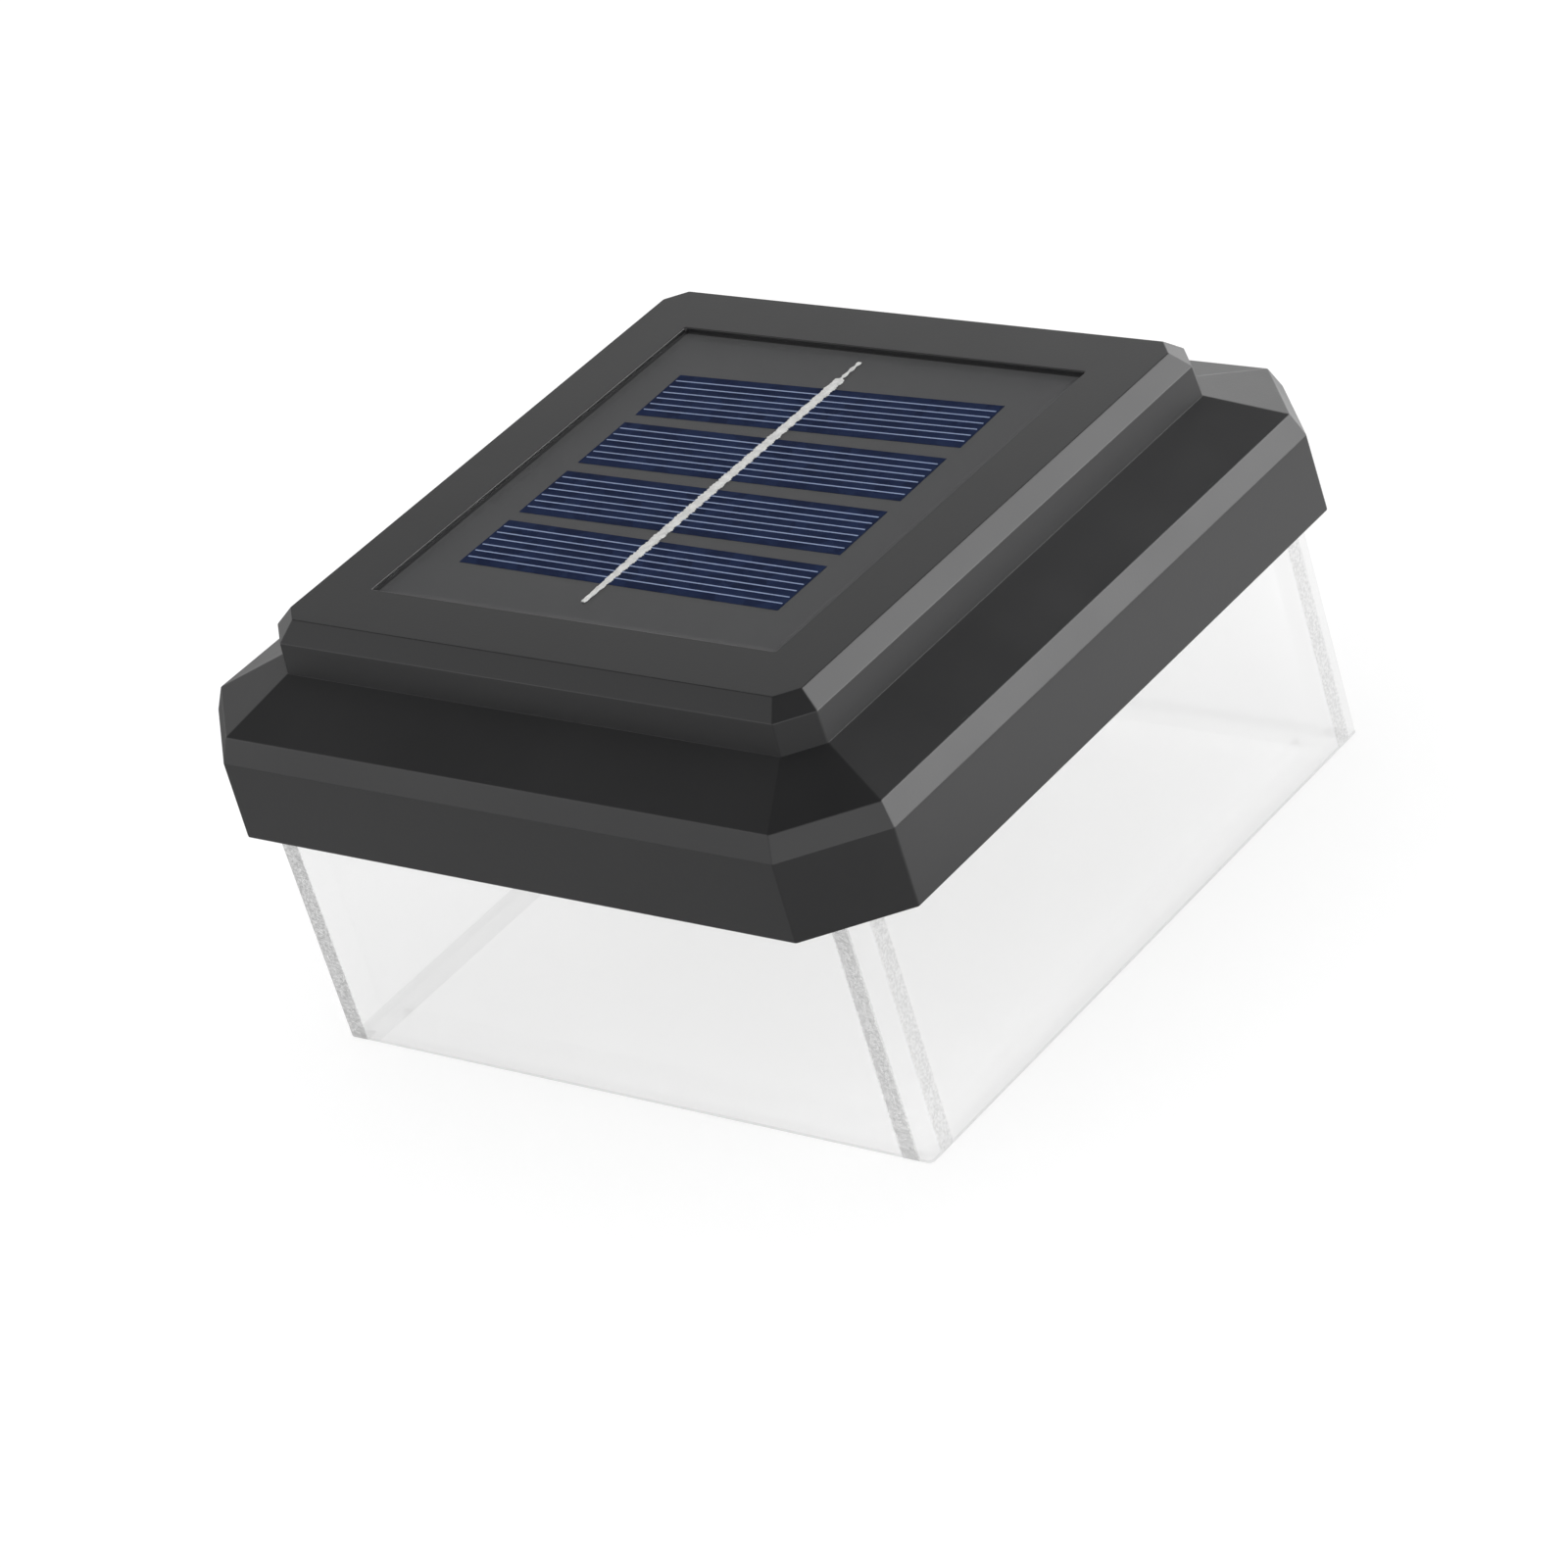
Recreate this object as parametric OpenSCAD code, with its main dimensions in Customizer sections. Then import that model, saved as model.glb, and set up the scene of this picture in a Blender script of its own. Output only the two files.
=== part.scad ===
// Solar post cap light: a stepped square cap with cut corners carries a flush solar panel,
// a clear square lens hangs below it, and a white tray inside holds battery, board and lamps.
// Millimetres, +Z up. The origin is the centre of the lens rim's lower face, which sits on the
// post. X runs along the side whose cell strips are seen lengthwise, Y runs across the strips.

/* [Lens] */
// Lens outside the axes of the screws that hold it, which stand round the panel's pan
lens_beyond_screws = 10.3; // [9.6:0.1:13]
// Wall of the lens
lens_wall = 2.8; // [2:0.1:3.6]
// Outside radius of the lens's upright corners where they show
lens_edge_r = 0.8; // [0.4:0.1:2]
// Outside radius of those corners under the cap, clear of its cut corners
lens_corner_r = 5; // [3.8:0.1:8]
// Inside radius of the lens's upright corners
lens_inner_r = 4.4; // [2:0.1:6]
// Height of lens seen below the cap's skirt
lens_show_h = 41; // [34:0.5:55]
// Inward reach of the rim at the lens's foot, past the wall
lens_lip_w = 3; // [2:0.1:5]
// Thickness of that rim
lens_lip_t = 2.4; // [1.6:0.1:4]
// Inward reach of the flange at the lens's top, past the wall
lens_flange_w = 4.2; // [3.6:0.1:5]
// Thickness of the top flange
lens_flange_t = 2.4; // [1.8:0.1:3]

/* [Cap] */
// Wall of the cap moulding
cap_wall = 2.2; // [1.6:0.1:2.8]
// Air gap between the lens and the skirt's inner face, at the skirt's lower edge
skirt_gap = 5.8; // [5:0.1:9]
// How far the cut corners stand inside the square corner that an even gap round the lens gives
corner_cut = 5.14; // [3.5:0.02:5.3]
// Height of the skirt
skirt_h = 12.4; // [10:0.1:18]
// Draft of the skirt, inward per side going up
skirt_draft = 0.3; // [0:0.05:1]
// Height of the narrow bevel above the skirt
lower_bevel_h = 3.6; // [2:0.1:5]
// Inward run of that bevel
lower_bevel_in = 1.5; // [0.8:0.1:3]
// Height that the sloping shoulder climbs
shoulder_h = 4.5; // [3.8:0.1:6]
// Height of the upper tier's band
band_h = 4.8; // [4:0.1:7]
// Draft of the upper band, inward per side going up
band_draft = 0.4; // [0:0.05:1]
// Height of the bevel round the top frame
top_bevel_h = 2.5; // [1.5:0.1:3.5]
// Inward run of that bevel
top_bevel_in = 2.65; // [1.5:0.05:4]
// Width of the flat frame round the panel recess
frame_border = 9.7; // [9.2:0.1:12]
// Wall of the recess pan below the frame
pan_wall = 2; // [1.4:0.1:2.4]
// How far the panel's face lies below the frame
panel_sink = 0.6; // [0.4:0.1:2]

/* [Solar panel] */
// Width of the square solar panel
panel_w = 73.2; // [70:0.2:76]
// Gap between the panel and the recess walls
panel_gap = 0.4; // [0.2:0.1:0.8]
// Thickness of the panel's backing board
panel_board_t = 1.6; // [1:0.1:2.4]
// Thickness of the clear front film, from the board up
panel_film_t = 0.6; // [0.6:0.1:1.4]
// Thickness of the mounting tape under the panel
panel_tape_t = 1.5; // [0.5:0.1:2]
// Width of the mounting tape
panel_tape_w = 5; // [3:0.5:10]
// Length of one cell strip
cell_l = 58.6; // [50:0.2:64]
// Depth of one cell strip
cell_d = 11.4; // [9:0.1:12.4]
// Spacing of the cell strips
cell_pitch = 14; // [13.4:0.1:15]
// Thickness of a cell
cell_t = 0.3; // [0.2:0.05:0.4]
// Width of the tinned ribbon across the cells
ribbon_w = 1.8; // [1:0.1:3]
// Thickness of the ribbon
ribbon_t = 0.25; // [0.15:0.05:0.3]

/* [Battery] */
// Diameter of the battery cell
battery_d = 14.5; // [14:0.1:15]
// Length of the battery cell with its nub
battery_l = 50.5; // [48:0.1:51]
// Length of the contact spring in place
spring_l = 7.5; // [6:0.1:9]
// Wire of the contact spring
spring_wire_d = 0.8; // [0.6:0.05:0.9]
// Number of curls of the contact spring
spring_curls = 4; // [3:1:4]
// Place of the battery's axis across the tray
battery_y = 17; // [16.4:0.1:18]

/* [Tray] */
// Thickness of the tray's plate
plate_t = 2; // [1.6:0.1:2.4]
// Floor of the tray's well
floor_t = 2; // [1.8:0.1:2.6]
// Walls of the tray's well
well_wall = 1.6; // [1.2:0.1:2]
// Thickness of the battery door
door_t = 1.4; // [1:0.1:1.6]
// Thickness of the rubber gasket on the lens flange
gasket_t = 0.8; // [0.5:0.1:1.4]

/* [Electronics] */
// Length of the control board
board_l = 44; // [42:0.5:56]
// Depth of the control board
board_d = 22; // [20:0.5:23]
// Thickness of the control board
board_t = 1.6; // [1:0.1:2]
// Diameter of a lamp's dome
led_d = 4.9; // [3:0.1:5.2]
// Travel of the slide switch
switch_travel = 2; // [1.5:0.1:2.4]
// Diameter of an insulated lead
lead_d = 1.3; // [1:0.1:1.5]

/* [Hidden] */
// Overrun that every cut takes past the face that it opens
over = 0.5;
$fn = 48;

// Colours
cap_grey = [0.24, 0.24, 0.25];
panel_grey = [0.27, 0.27, 0.29];
cell_navy = [0.11, 0.15, 0.27];
tin_silver = [0.78, 0.78, 0.76];
film_clear = [0.9, 0.93, 0.96, 0.25];
lens_clear = [0.93, 0.95, 0.96, 0.3];
tray_white = [0.92, 0.92, 0.9];
rubber_black = [0.07, 0.07, 0.07];
board_green = [0.08, 0.34, 0.18];
steel_grey = [0.62, 0.62, 0.64];
lamp_warm = [0.96, 0.93, 0.8, 0.7];
wire_red = [0.75, 0.08, 0.06];

// Heights of the cap's outline
skirt_low_z = lens_show_h;
skirt_top_z = skirt_low_z + skirt_h;
shoulder_low_z = skirt_top_z + lower_bevel_h;
band_low_z = shoulder_low_z + shoulder_h;
band_top_z = band_low_z + band_h;
frame_z = band_top_z + top_bevel_h;

// Half widths of the cap's outline
panel_half = panel_w / 2;
recess_half = panel_half + panel_gap;
pan_half = recess_half + pan_wall;
boss_r = 3.7;
boss_gap = 1.3;
boss_at = pan_half + boss_gap + boss_r;
lens_half = boss_at + lens_beyond_screws;
corner_reach = (sqrt(2) - 1) * lens_half - corner_cut;
skirt_low_half = lens_half + skirt_gap + cap_wall;
skirt_top_half = skirt_low_half - skirt_draft;
shoulder_half = skirt_top_half - lower_bevel_in;
frame_half = recess_half + frame_border;
band_top_half = frame_half + top_bevel_in;
band_low_half = band_top_half + band_draft;
slab_span = 2 * (skirt_low_half + corner_reach + over);

cap_outline = [
    [skirt_low_half, skirt_low_z],
    [skirt_top_half, skirt_top_z],
    [shoulder_half, shoulder_low_z],
    [band_low_half, band_low_z],
    [band_top_half, band_top_z],
    [frame_half, frame_z],
    [0, frame_z],
];

// Panel stack, from the frame's face down
panel_top_z = frame_z - panel_sink;
board_top_z = panel_top_z - panel_film_t;
board_low_z = board_top_z - panel_board_t;
recess_floor_z = board_low_z - panel_tape_t;
pan_floor_t = pan_wall;
pan_under_z = recess_floor_z - pan_floor_t;
cell_rows = 4;
// Turn of each strip on the board, as a hand-laid panel has it, front strip first
cell_turns = [-0.3, 0.4, 0.9, 1.7];
ribbon_x = -1.9;
ribbon_front_inset = 5;
ribbon_back_inset = 7.2;
ribbon_tail_inset = 2.4;
ribbon_front_y = ribbon_front_inset - panel_half;
ribbon_back_y = panel_half - ribbon_back_inset;
ribbon_tail_y = panel_half - ribbon_tail_inset;
ribbon_tail_w = 0.8;
panel_pad_l = 3.6;
panel_pad_w = 2.2;
panel_pad_t = 0.1;

// Stack that is screwed up under the cap
ring_drop = 0.4;
ring_z = shoulder_low_z - ring_drop;
gasket_edge = 1;
gasket_w = 4.4;
gasket_corner_ease = 3;
gasket_corner_r = lens_corner_r + gasket_corner_ease;
ring_inset = 0.4;
gasket_half = lens_half - gasket_edge;
lens_top_z = ring_z - gasket_t;
plate_top_z = lens_top_z - lens_flange_t;
plate_low_z = plate_top_z - plate_t;
lens_inner_half = lens_half - lens_wall;
lens_edge_rise = 4;
lens_edge_top_z = skirt_low_z + lens_edge_rise;
lip_half = lens_inner_half - lens_lip_w;
lip_corner_r = 1.2;
flange_half = lens_inner_half - lens_flange_w;
ear_half = 4.2;
plate_fit = 0.8;
plate_half = lens_inner_half - plate_fit;

// Screws that hold the tray, the lens and the cap together
tray_screw_d = 2.9;
tray_screw_l = 12;
tray_screw_head_d = 5.6;
tray_screw_head_h = 2;
pilot_slack = 0.1;
screw_hole_slack = 0.5;
pilot_end = 1.1;
cross_w = 0.8;
cross_depth_share = 0.55;
cross_span_share = 0.62;

// Ribs that centre the lens inside the skirt
rib_t = 1.4;
rib_fit = 0.3;
rib_drop = 5;
ribs_per_side = 3;
rib_pitch = 30;

// Battery bay, from the recess pan down
bay_gap = 0.4;
bay_roof_t = 1.1;
battery_play = 0.75;
door_play = 0.85;
seal_gap = 0.1;
seal_t = 0.5;
bay_top_z = pan_under_z - bay_gap;
battery_z = bay_top_z - bay_roof_t - battery_play - battery_d / 2;
door_top_z = battery_z - battery_d / 2 - door_play;
door_low_z = door_top_z - door_t;
seal_low_z = door_top_z + seal_gap;
floor_top_z = seal_low_z + seal_t;
floor_low_z = floor_top_z - floor_t;
contact_t = 0.5;
bay_half_l = (battery_l + spring_l) / 2 + contact_t;
bay_half_d = battery_d / 2 + battery_play;
bay_end = bay_half_l + well_wall;
bay_front_y = battery_y - bay_half_d;
bay_back_y = battery_y + bay_half_d;
ledge_t = 1.5;

// Battery door and its screws
seal_w = 1.2;
seal_inset = 0.2;
door_land = 1.6;
door_fit = 0.3;
door_boss_r = 2.6;
door_boss_gap = 0.6;
door_edge = 1;
door_corner_r = 1;
door_screw_d = 2;
door_screw_l = 7;
door_screw_head_d = 4.2;
door_screw_head_h = 1.5;
door_screw_x = bay_end + door_boss_gap + door_boss_r;
door_half_l = door_screw_x + door_boss_r + door_edge;
door_half_d = bay_half_d + door_land;
door_grip_n = 4;
door_grip_pitch = 2.4;
door_grip_w = 1;
door_grip_l = 10;
door_grip_h = 0.4;

// Well of the tray
well_half = door_half_l + door_fit + well_wall;
well_back_y = battery_y + door_half_d + door_fit + well_wall;
board_gap = 1;
board_back_y = bay_front_y - well_wall - board_gap - door_land;
board_y = board_back_y - board_d / 2;
well_front_y = board_back_y - board_d - board_gap - well_wall;
well_corner_r = 3;

// Switch
switch_l = 8.6;
switch_d = 4.4;
switch_h = 4.4;
switch_floor_gap = 0.3;
slider_l = 2;
slider_d = 1.8;
slider_out = 1.7;
slider_in = 1.2;
slider_fit = 0.1;
slider_end_gap = 0.2;
slot_margin = 0.4;
board_under_z = floor_top_z + switch_floor_gap + switch_h;
board_face_z = board_under_z + board_t;

// Board screws and parts on the board
board_screw_inset = 4;
board_screw_x = board_l / 2 - board_screw_inset;
board_boss_r = 2.6;
board_screw_d = 1.8;
board_screw_l = 5;
board_screw_head_d = 4;
board_screw_head_h = 1.3;
led_x = 10;
led_dy = 6.2;
led_out = 1.6;
led_flange_r = 2.95;
led_flange_t = 1;
led_hole_slack = 0.2;
led_lead_w = 0.5;
led_lead_pitch = 2.54;
chip_l = 5;
chip_d = 3.9;
chip_h = 1.5;
chip_lift = 0.2;
chip_pins = 4;
chip_pin_pitch = 1.27;
chip_pin_w = 0.42;
chip_pin_reach = 1;
coil_r = 3;
coil_waist_r = 2.3;
coil_h = 4.6;
coil_flange_t = 0.9;
coil_x = -9.6;
can_r = 2.5;
can_h = 6;
can_x = 9.6;
can_groove_r = 2.3;
can_groove_z = 1.2;
can_groove_h = 0.5;
board_part_dy = 3;

// Contacts of the battery
contact_h = 11;
contact_w = 12;
tab_h = 3;
tab_out = 2.4;
tab_rise = 4;
tab_slack = 0.2;
spring_wide_r = 4.6;
spring_narrow_r = 3;
spring_touch = 0.05;
spring_rings = 8;
spring_sides = 6;
nub_r = 2.75;
nub_l = 1.2;
battery_edge = 0.5;

// Leads and the grommet that they pass in the recess pan
grommet_dy = 6.8;
grommet_y = board_y - grommet_dy;
grommet_r = 4.4;
grommet_fit = 0.1;
grommet_flange_r = 6;
grommet_flange_t = 1.2;
lead_pair_x = 1.6;
lead_land_x = 6;
lead_hole_slack = 0.1;
lead_sides = 8;
lead_rings = 8;
battery_lead_x = 19;
battery_lead_inset = 3;
lead_handle_share = 0.45;

// Unit vector along v
function unit(v) = v / norm(v);

// Point where the line through p along u meets the line through q along v
function meet(p, u, q, v) = p + u * (cross(q - p, v) / cross(u, v));

// Outline moved inward by t, its foot carried down past the open edge
function inset_outline(points, t) =
    let (
        last = len(points) - 1,
        dirs = [for (i = [0:last - 1]) unit(points[i + 1] - points[i])],
        moved = [for (i = [0:last - 1]) points[i] + t * [-dirs[i][1], dirs[i][0]]],
        foot = meet(moved[0], dirs[0], [0, points[0][1] - over], [1, 0])
    )
    concat(
        [foot],
        [for (i = [1:last - 1]) meet(moved[i - 1], dirs[i - 1], moved[i], dirs[i])],
        [[0, points[last][1] - t]]
    );

// Closed outline across both sides of the axis
function both_sides(points) =
    let (sides = [for (p = points) if (p[0] > 0) p])
    concat(sides, [for (i = [len(sides) - 1:-1:0]) [-sides[i][0], sides[i][1]]]);

// Point on a cubic curve that leaves a along da and arrives at b along db
function curve_point(a, da, b, db, t) =
    let (reach = norm(b - a) * lead_handle_share)
    pow(1 - t, 3) * a
    + 3 * pow(1 - t, 2) * t * (a + da * reach)
    + 3 * (1 - t) * pow(t, 2) * (b - db * reach)
    + pow(t, 3) * b;

// Direction of a path at point i, with its first and last directions given
function path_dir(path, i, da, db) =
    i == 0 ? da : i == len(path) - 1 ? db : unit(path[i + 1] - path[i - 1]);

// Ring of points round centre c, square to direction d
function ring_points(c, d, side, r, sides) =
    let (u = unit(side - d * (side * d)), v = cross(d, u))
    [for (k = [0:sides - 1]) c + r * (u * cos(360 * k / sides) + v * sin(360 * k / sides))];

// Faces of a tube of n rings
function tube_faces(n, sides) = concat(
    [[for (k = [0:sides - 1]) k]],
    [for (i = [0:n - 2]) for (k = [0:sides - 1])
        [i * sides + (k + 1) % sides, i * sides + k, (i + 1) * sides + k]],
    [for (i = [0:n - 2]) for (k = [0:sides - 1])
        [i * sides + (k + 1) % sides, (i + 1) * sides + k, (i + 1) * sides + (k + 1) % sides]],
    [[for (k = [sides - 1:-1:0]) (n - 1) * sides + k]]
);

// Upright slab that has the outline as its section, turned to face the given angle
module outline_slab(points, angle) {
    rotate([90, 0, angle])
        linear_extrude(height = slab_span, center = true)
            polygon(both_sides(points));
}

// Square stepped solid whose cut corners follow the same outline further out
module stepped_octagon(points) {
    corner_points = [for (p = points) p[0] > 0 ? [p[0] + corner_reach, p[1]] : p];
    intersection() {
        outline_slab(points, 0);
        outline_slab(points, 90);
        outline_slab(corner_points, 45);
        outline_slab(corner_points, -45);
    }
}

// Square plate with round corners, from z up by h
module rounded_plate(half_x, half_y, r, z, h) {
    translate([0, 0, z])
        linear_extrude(height = h)
            union() {
                square([2 * half_x, 2 * (half_y - r)], center = true);
                square([2 * (half_x - r), 2 * half_y], center = true);
                for (sx = [-1, 1], sy = [-1, 1])
                    translate([sx * (half_x - r), sy * (half_y - r)])
                        circle(r);
            }
}

// Block between two corners
module block(low, high) {
    translate(low)
        cube(high - low);
}

// Square ring with plain corners, w wide inward from half
module square_ring(half, w, z, h) {
    difference() {
        block([-half, -half, z], [half, half, z + h]);
        block([w - half, w - half, z - over], [half - w, half - w, z + h + over]);
    }
}

// The same thing at the four screw places
module at_bosses() {
    for (sx = [-1, 1], sy = [-1, 1])
        translate([sx * boss_at, sy * boss_at, 0])
            children();
}

// Screw with a round head and a crossed driver slot, its head's lower face at z, pointing up
module screw_up(d, l, head_d, head_h, z) {
    slot = head_d * cross_span_share;
    depth = head_h * cross_depth_share;
    dome = head_h / 2;
    translate([0, 0, z])
        difference() {
            union() {
                rotate_extrude()
                    polygon([
                        [0, 0], [head_d / 2 - dome, 0], [head_d / 2, dome],
                        [head_d / 2, head_h], [0, head_h],
                    ]);
                translate([0, 0, head_h])
                    cylinder(d = d, h = l);
            }
            for (turn = [0, 90])
                rotate([0, 0, turn])
                    block([-slot / 2, -cross_w / 2, -over], [slot / 2, cross_w / 2, depth]);
        }
}

// Points of a curve that leaves a along da and arrives at b along db
function curve_points(a, da, b, db) =
    [for (i = [0:lead_rings]) curve_point(a, da, b, db, i / lead_rings)];

// Insulated lead swept along its points
module lead(path, da, db, side) {
    rings = len(path);
    points = [
        for (i = [0:rings - 1])
            each ring_points(path[i], path_dir(path, i, da, db), side, lead_d / 2, lead_sides)
    ];
    polyhedron(points = points, faces = tube_faces(rings, lead_sides));
}

// Moulded cap with the recess for the panel, the pan under it, screw bosses and ribs
module cap_shell() {
    color(cap_grey)
        difference() {
            stepped_octagon(cap_outline);
            difference() {
                stepped_octagon(inset_outline(cap_outline, cap_wall));
                block([-pan_half, -pan_half, pan_under_z], [pan_half, pan_half, frame_z]);
                square_ring(
                    gasket_half - ring_inset, gasket_w - 2 * ring_inset,
                    ring_z, band_low_z - ring_z
                );
                at_bosses()
                    translate([0, 0, lens_top_z])
                        cylinder(r = boss_r, h = frame_z - lens_top_z);
                lens_ribs();
            }
            block(
                [-recess_half, -recess_half, recess_floor_z],
                [recess_half, recess_half, frame_z + over]
            );
            translate([0, grommet_y, pan_under_z - over])
                cylinder(r = grommet_r + grommet_fit, h = pan_floor_t + 2 * over);
            at_bosses()
                translate([0, 0, lens_top_z - over])
                    cylinder(d = tray_screw_d + pilot_slack, h = boss_pilot_l() + over);
        }
}

// Depth of the pilot holes in the cap's bosses
function boss_pilot_l() = plate_low_z + tray_screw_l + pilot_end - lens_top_z;

// Ribs between the skirt and the lens
module lens_ribs() {
    reach = skirt_low_half - lens_half;
    for (turn = [0:90:270])
        rotate([0, 0, turn])
            for (i = [0:ribs_per_side - 1])
                translate([0, (i - (ribs_per_side - 1) / 2) * rib_pitch, 0])
                    block(
                        [lens_half + rib_fit, -rib_t / 2, ring_z - rib_drop],
                        [lens_half + reach, rib_t / 2, band_low_z]
                    );
}

// Backing board of the solar panel
module panel_board() {
    color(panel_grey)
        block([-panel_half, -panel_half, board_low_z], [panel_half, panel_half, board_top_z]);
}

// One cell strip in its place, grown sideways and upward for the pocket round it
module cell_strip(row, grow) {
    y = (row - (cell_rows - 1) / 2) * cell_pitch;
    translate([0, y, 0])
        rotate([0, 0, cell_turns[row]])
            block(
                [-cell_l / 2, -cell_d / 2, board_top_z - grow],
                [cell_l / 2, cell_d / 2, board_top_z + cell_t]
            );
}

// Four polycrystalline cell strips
module solar_cells() {
    color(cell_navy)
        for (row = [0:cell_rows - 1])
            cell_strip(row, 0);
}

// Outline of the ribbon, with its thin tail, grown down for the pocket round it
module ribbon_body(grow) {
    low = board_top_z + cell_t - grow;
    high = board_top_z + cell_t + ribbon_t;
    block([ribbon_x - ribbon_w / 2, ribbon_front_y, low], [ribbon_x + ribbon_w / 2, ribbon_back_y, high]);
    block(
        [ribbon_x - ribbon_tail_w / 2, ribbon_back_y - over, low],
        [ribbon_x + ribbon_tail_w / 2, ribbon_tail_y, high]
    );
}

// Tinned ribbon that joins the strips
module cell_ribbon() {
    color(tin_silver)
        ribbon_body(0);
}

// Clear film over the cells, with their pockets
module panel_film() {
    color(film_clear)
        difference() {
            block([-panel_half, -panel_half, board_top_z], [panel_half, panel_half, panel_top_z]);
            for (row = [0:cell_rows - 1])
                cell_strip(row, over);
            ribbon_body(0);
        }
}

// Foam tape that holds the panel in its recess
module panel_tape() {
    color(rubber_black)
        square_ring(panel_half, panel_tape_w, recess_floor_z, panel_tape_t);
}

// Two solder pads under the panel
module panel_pads() {
    color(tin_silver)
        for (side = [-1, 1])
            translate([side * lead_pair_x, grommet_y, board_low_z - panel_pad_t])
                translate([-panel_pad_w / 2, -panel_pad_l / 2, 0])
                    cube([panel_pad_w, panel_pad_l, panel_pad_t]);
}

// Rubber grommet round the two panel leads
module lead_grommet() {
    color(rubber_black)
        translate([0, grommet_y, 0])
            difference() {
                union() {
                    translate([0, 0, pan_under_z - grommet_flange_t])
                        cylinder(r = grommet_flange_r, h = grommet_flange_t);
                    translate([0, 0, pan_under_z])
                        cylinder(r = grommet_r, h = pan_floor_t);
                }
                for (side = [-1, 1])
                    translate([side * lead_pair_x, 0, pan_under_z - grommet_flange_t - over])
                        cylinder(
                            r = lead_d / 2 + lead_hole_slack,
                            h = grommet_flange_t + pan_floor_t + 2 * over
                        );
            }
}

// Clear lens: four walls, a rim at the foot and a flange with screw ears at the top
module lens() {
    flange_low_z = lens_top_z - lens_flange_t;
    color(lens_clear)
        difference() {
            union() {
                rounded_plate(lens_half, lens_half, lens_edge_r, 0, lens_edge_top_z);
                rounded_plate(lens_half, lens_half, lens_corner_r, lens_edge_top_z, lens_top_z - lens_edge_top_z);
            }
            rounded_plate(
                lens_inner_half, lens_inner_half, lens_inner_r,
                lens_lip_t, flange_low_z - lens_lip_t
            );
            rounded_plate(lip_half, lip_half, lip_corner_r, -over, lens_lip_t + 2 * over);
            difference() {
                block(
                    [-flange_half, -flange_half, flange_low_z - over],
                    [flange_half, flange_half, lens_top_z + over]
                );
                at_bosses()
                    block(
                        [-ear_half, -ear_half, flange_low_z - over - over],
                        [ear_half, ear_half, lens_top_z + over + over]
                    );
            }
            at_bosses()
                translate([0, 0, flange_low_z - over])
                    cylinder(d = tray_screw_d + screw_hole_slack, h = lens_flange_t + 2 * over);
        }
}

// Rubber ring between the lens flange and the cap
module lens_gasket() {
    color(rubber_black)
        difference() {
            rounded_plate(gasket_half, gasket_half, gasket_corner_r, lens_top_z, gasket_t);
            rounded_plate(
                gasket_half - gasket_w, gasket_half - gasket_w, gasket_corner_r - gasket_w,
                lens_top_z - over, gasket_t + 2 * over
            );
        }
}

// Hollow of the tray's well above its floor
module well_hollow() {
    block(
        [well_wall - well_half, well_front_y + well_wall, floor_top_z],
        [well_half - well_wall, well_back_y - well_wall, plate_top_z + over]
    );
}

// Walls, ledge and bosses that stand in the well
module well_fittings() {
    block(
        [well_wall - well_half, bay_front_y - well_wall, floor_top_z],
        [well_half - well_wall, well_back_y - well_wall, floor_top_z + ledge_t]
    );
    block(
        [-bay_end, bay_front_y - well_wall, floor_top_z],
        [bay_end, bay_back_y + well_wall, bay_top_z]
    );
    for (side = [-1, 1]) {
        translate([side * door_screw_x, battery_y, floor_top_z])
            cylinder(r = door_boss_r, h = door_screw_l);
        translate([side * board_screw_x, board_y, floor_top_z])
            cylinder(r = board_boss_r, h = board_under_z - floor_top_z);
    }
}

// White tray: plate, well, battery bay and every hole in them
module tray() {
    door_pocket_l = door_half_l + door_fit;
    door_pocket_d = door_half_d + door_fit;
    slot_l = slider_l / 2 + switch_travel / 2 + slot_margin;
    slot_d = slider_d / 2 + slot_margin;
    color(tray_white)
        difference() {
            union() {
                difference() {
                    union() {
                        rounded_plate(plate_half, plate_half, lens_inner_r, plate_low_z, plate_t);
                        translate([0, (well_front_y + well_back_y) / 2, 0])
                            rounded_plate(
                                well_half, (well_back_y - well_front_y) / 2,
                                well_corner_r, floor_low_z, plate_top_z - floor_low_z
                            );
                    }
                    well_hollow();
                }
                well_fittings();
            }
            block(
                [-bay_half_l, bay_front_y, floor_top_z - over],
                [bay_half_l, bay_back_y, bay_top_z - bay_roof_t]
            );
            translate([0, battery_y, 0])
                rounded_plate(
                    door_pocket_l, door_pocket_d, door_corner_r,
                    floor_low_z - over, floor_top_z - floor_low_z + over
                );
            at_leds()
                translate([0, 0, floor_low_z - over])
                    cylinder(d = led_d + led_hole_slack, h = floor_t + 2 * over);
            block(
                [-slot_l, board_y - slot_d, floor_low_z - over],
                [slot_l, board_y + slot_d, floor_top_z + over]
            );
            at_bosses()
                translate([0, 0, plate_low_z - over])
                    cylinder(d = tray_screw_d + screw_hole_slack, h = plate_t + 2 * over);
            for (side = [-1, 1]) {
                translate([side * door_screw_x, battery_y, floor_top_z - over])
                    cylinder(d = door_screw_d + pilot_slack, h = door_screw_l);
                translate([side * board_screw_x, board_y, floor_top_z + floor_t / 2])
                    cylinder(d = board_screw_d + pilot_slack, h = board_screw_l);
                block(
                    [side * (bay_half_l - contact_t / 2) - contact_t / 2 - tab_slack,
                        bay_front_y - well_wall - over, battery_z + tab_rise - tab_slack],
                    [side * (bay_half_l - contact_t / 2) + contact_t / 2 + tab_slack,
                        bay_front_y + over, battery_z + tab_rise + tab_h + tab_slack]
                );
            }
        }
}

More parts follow.
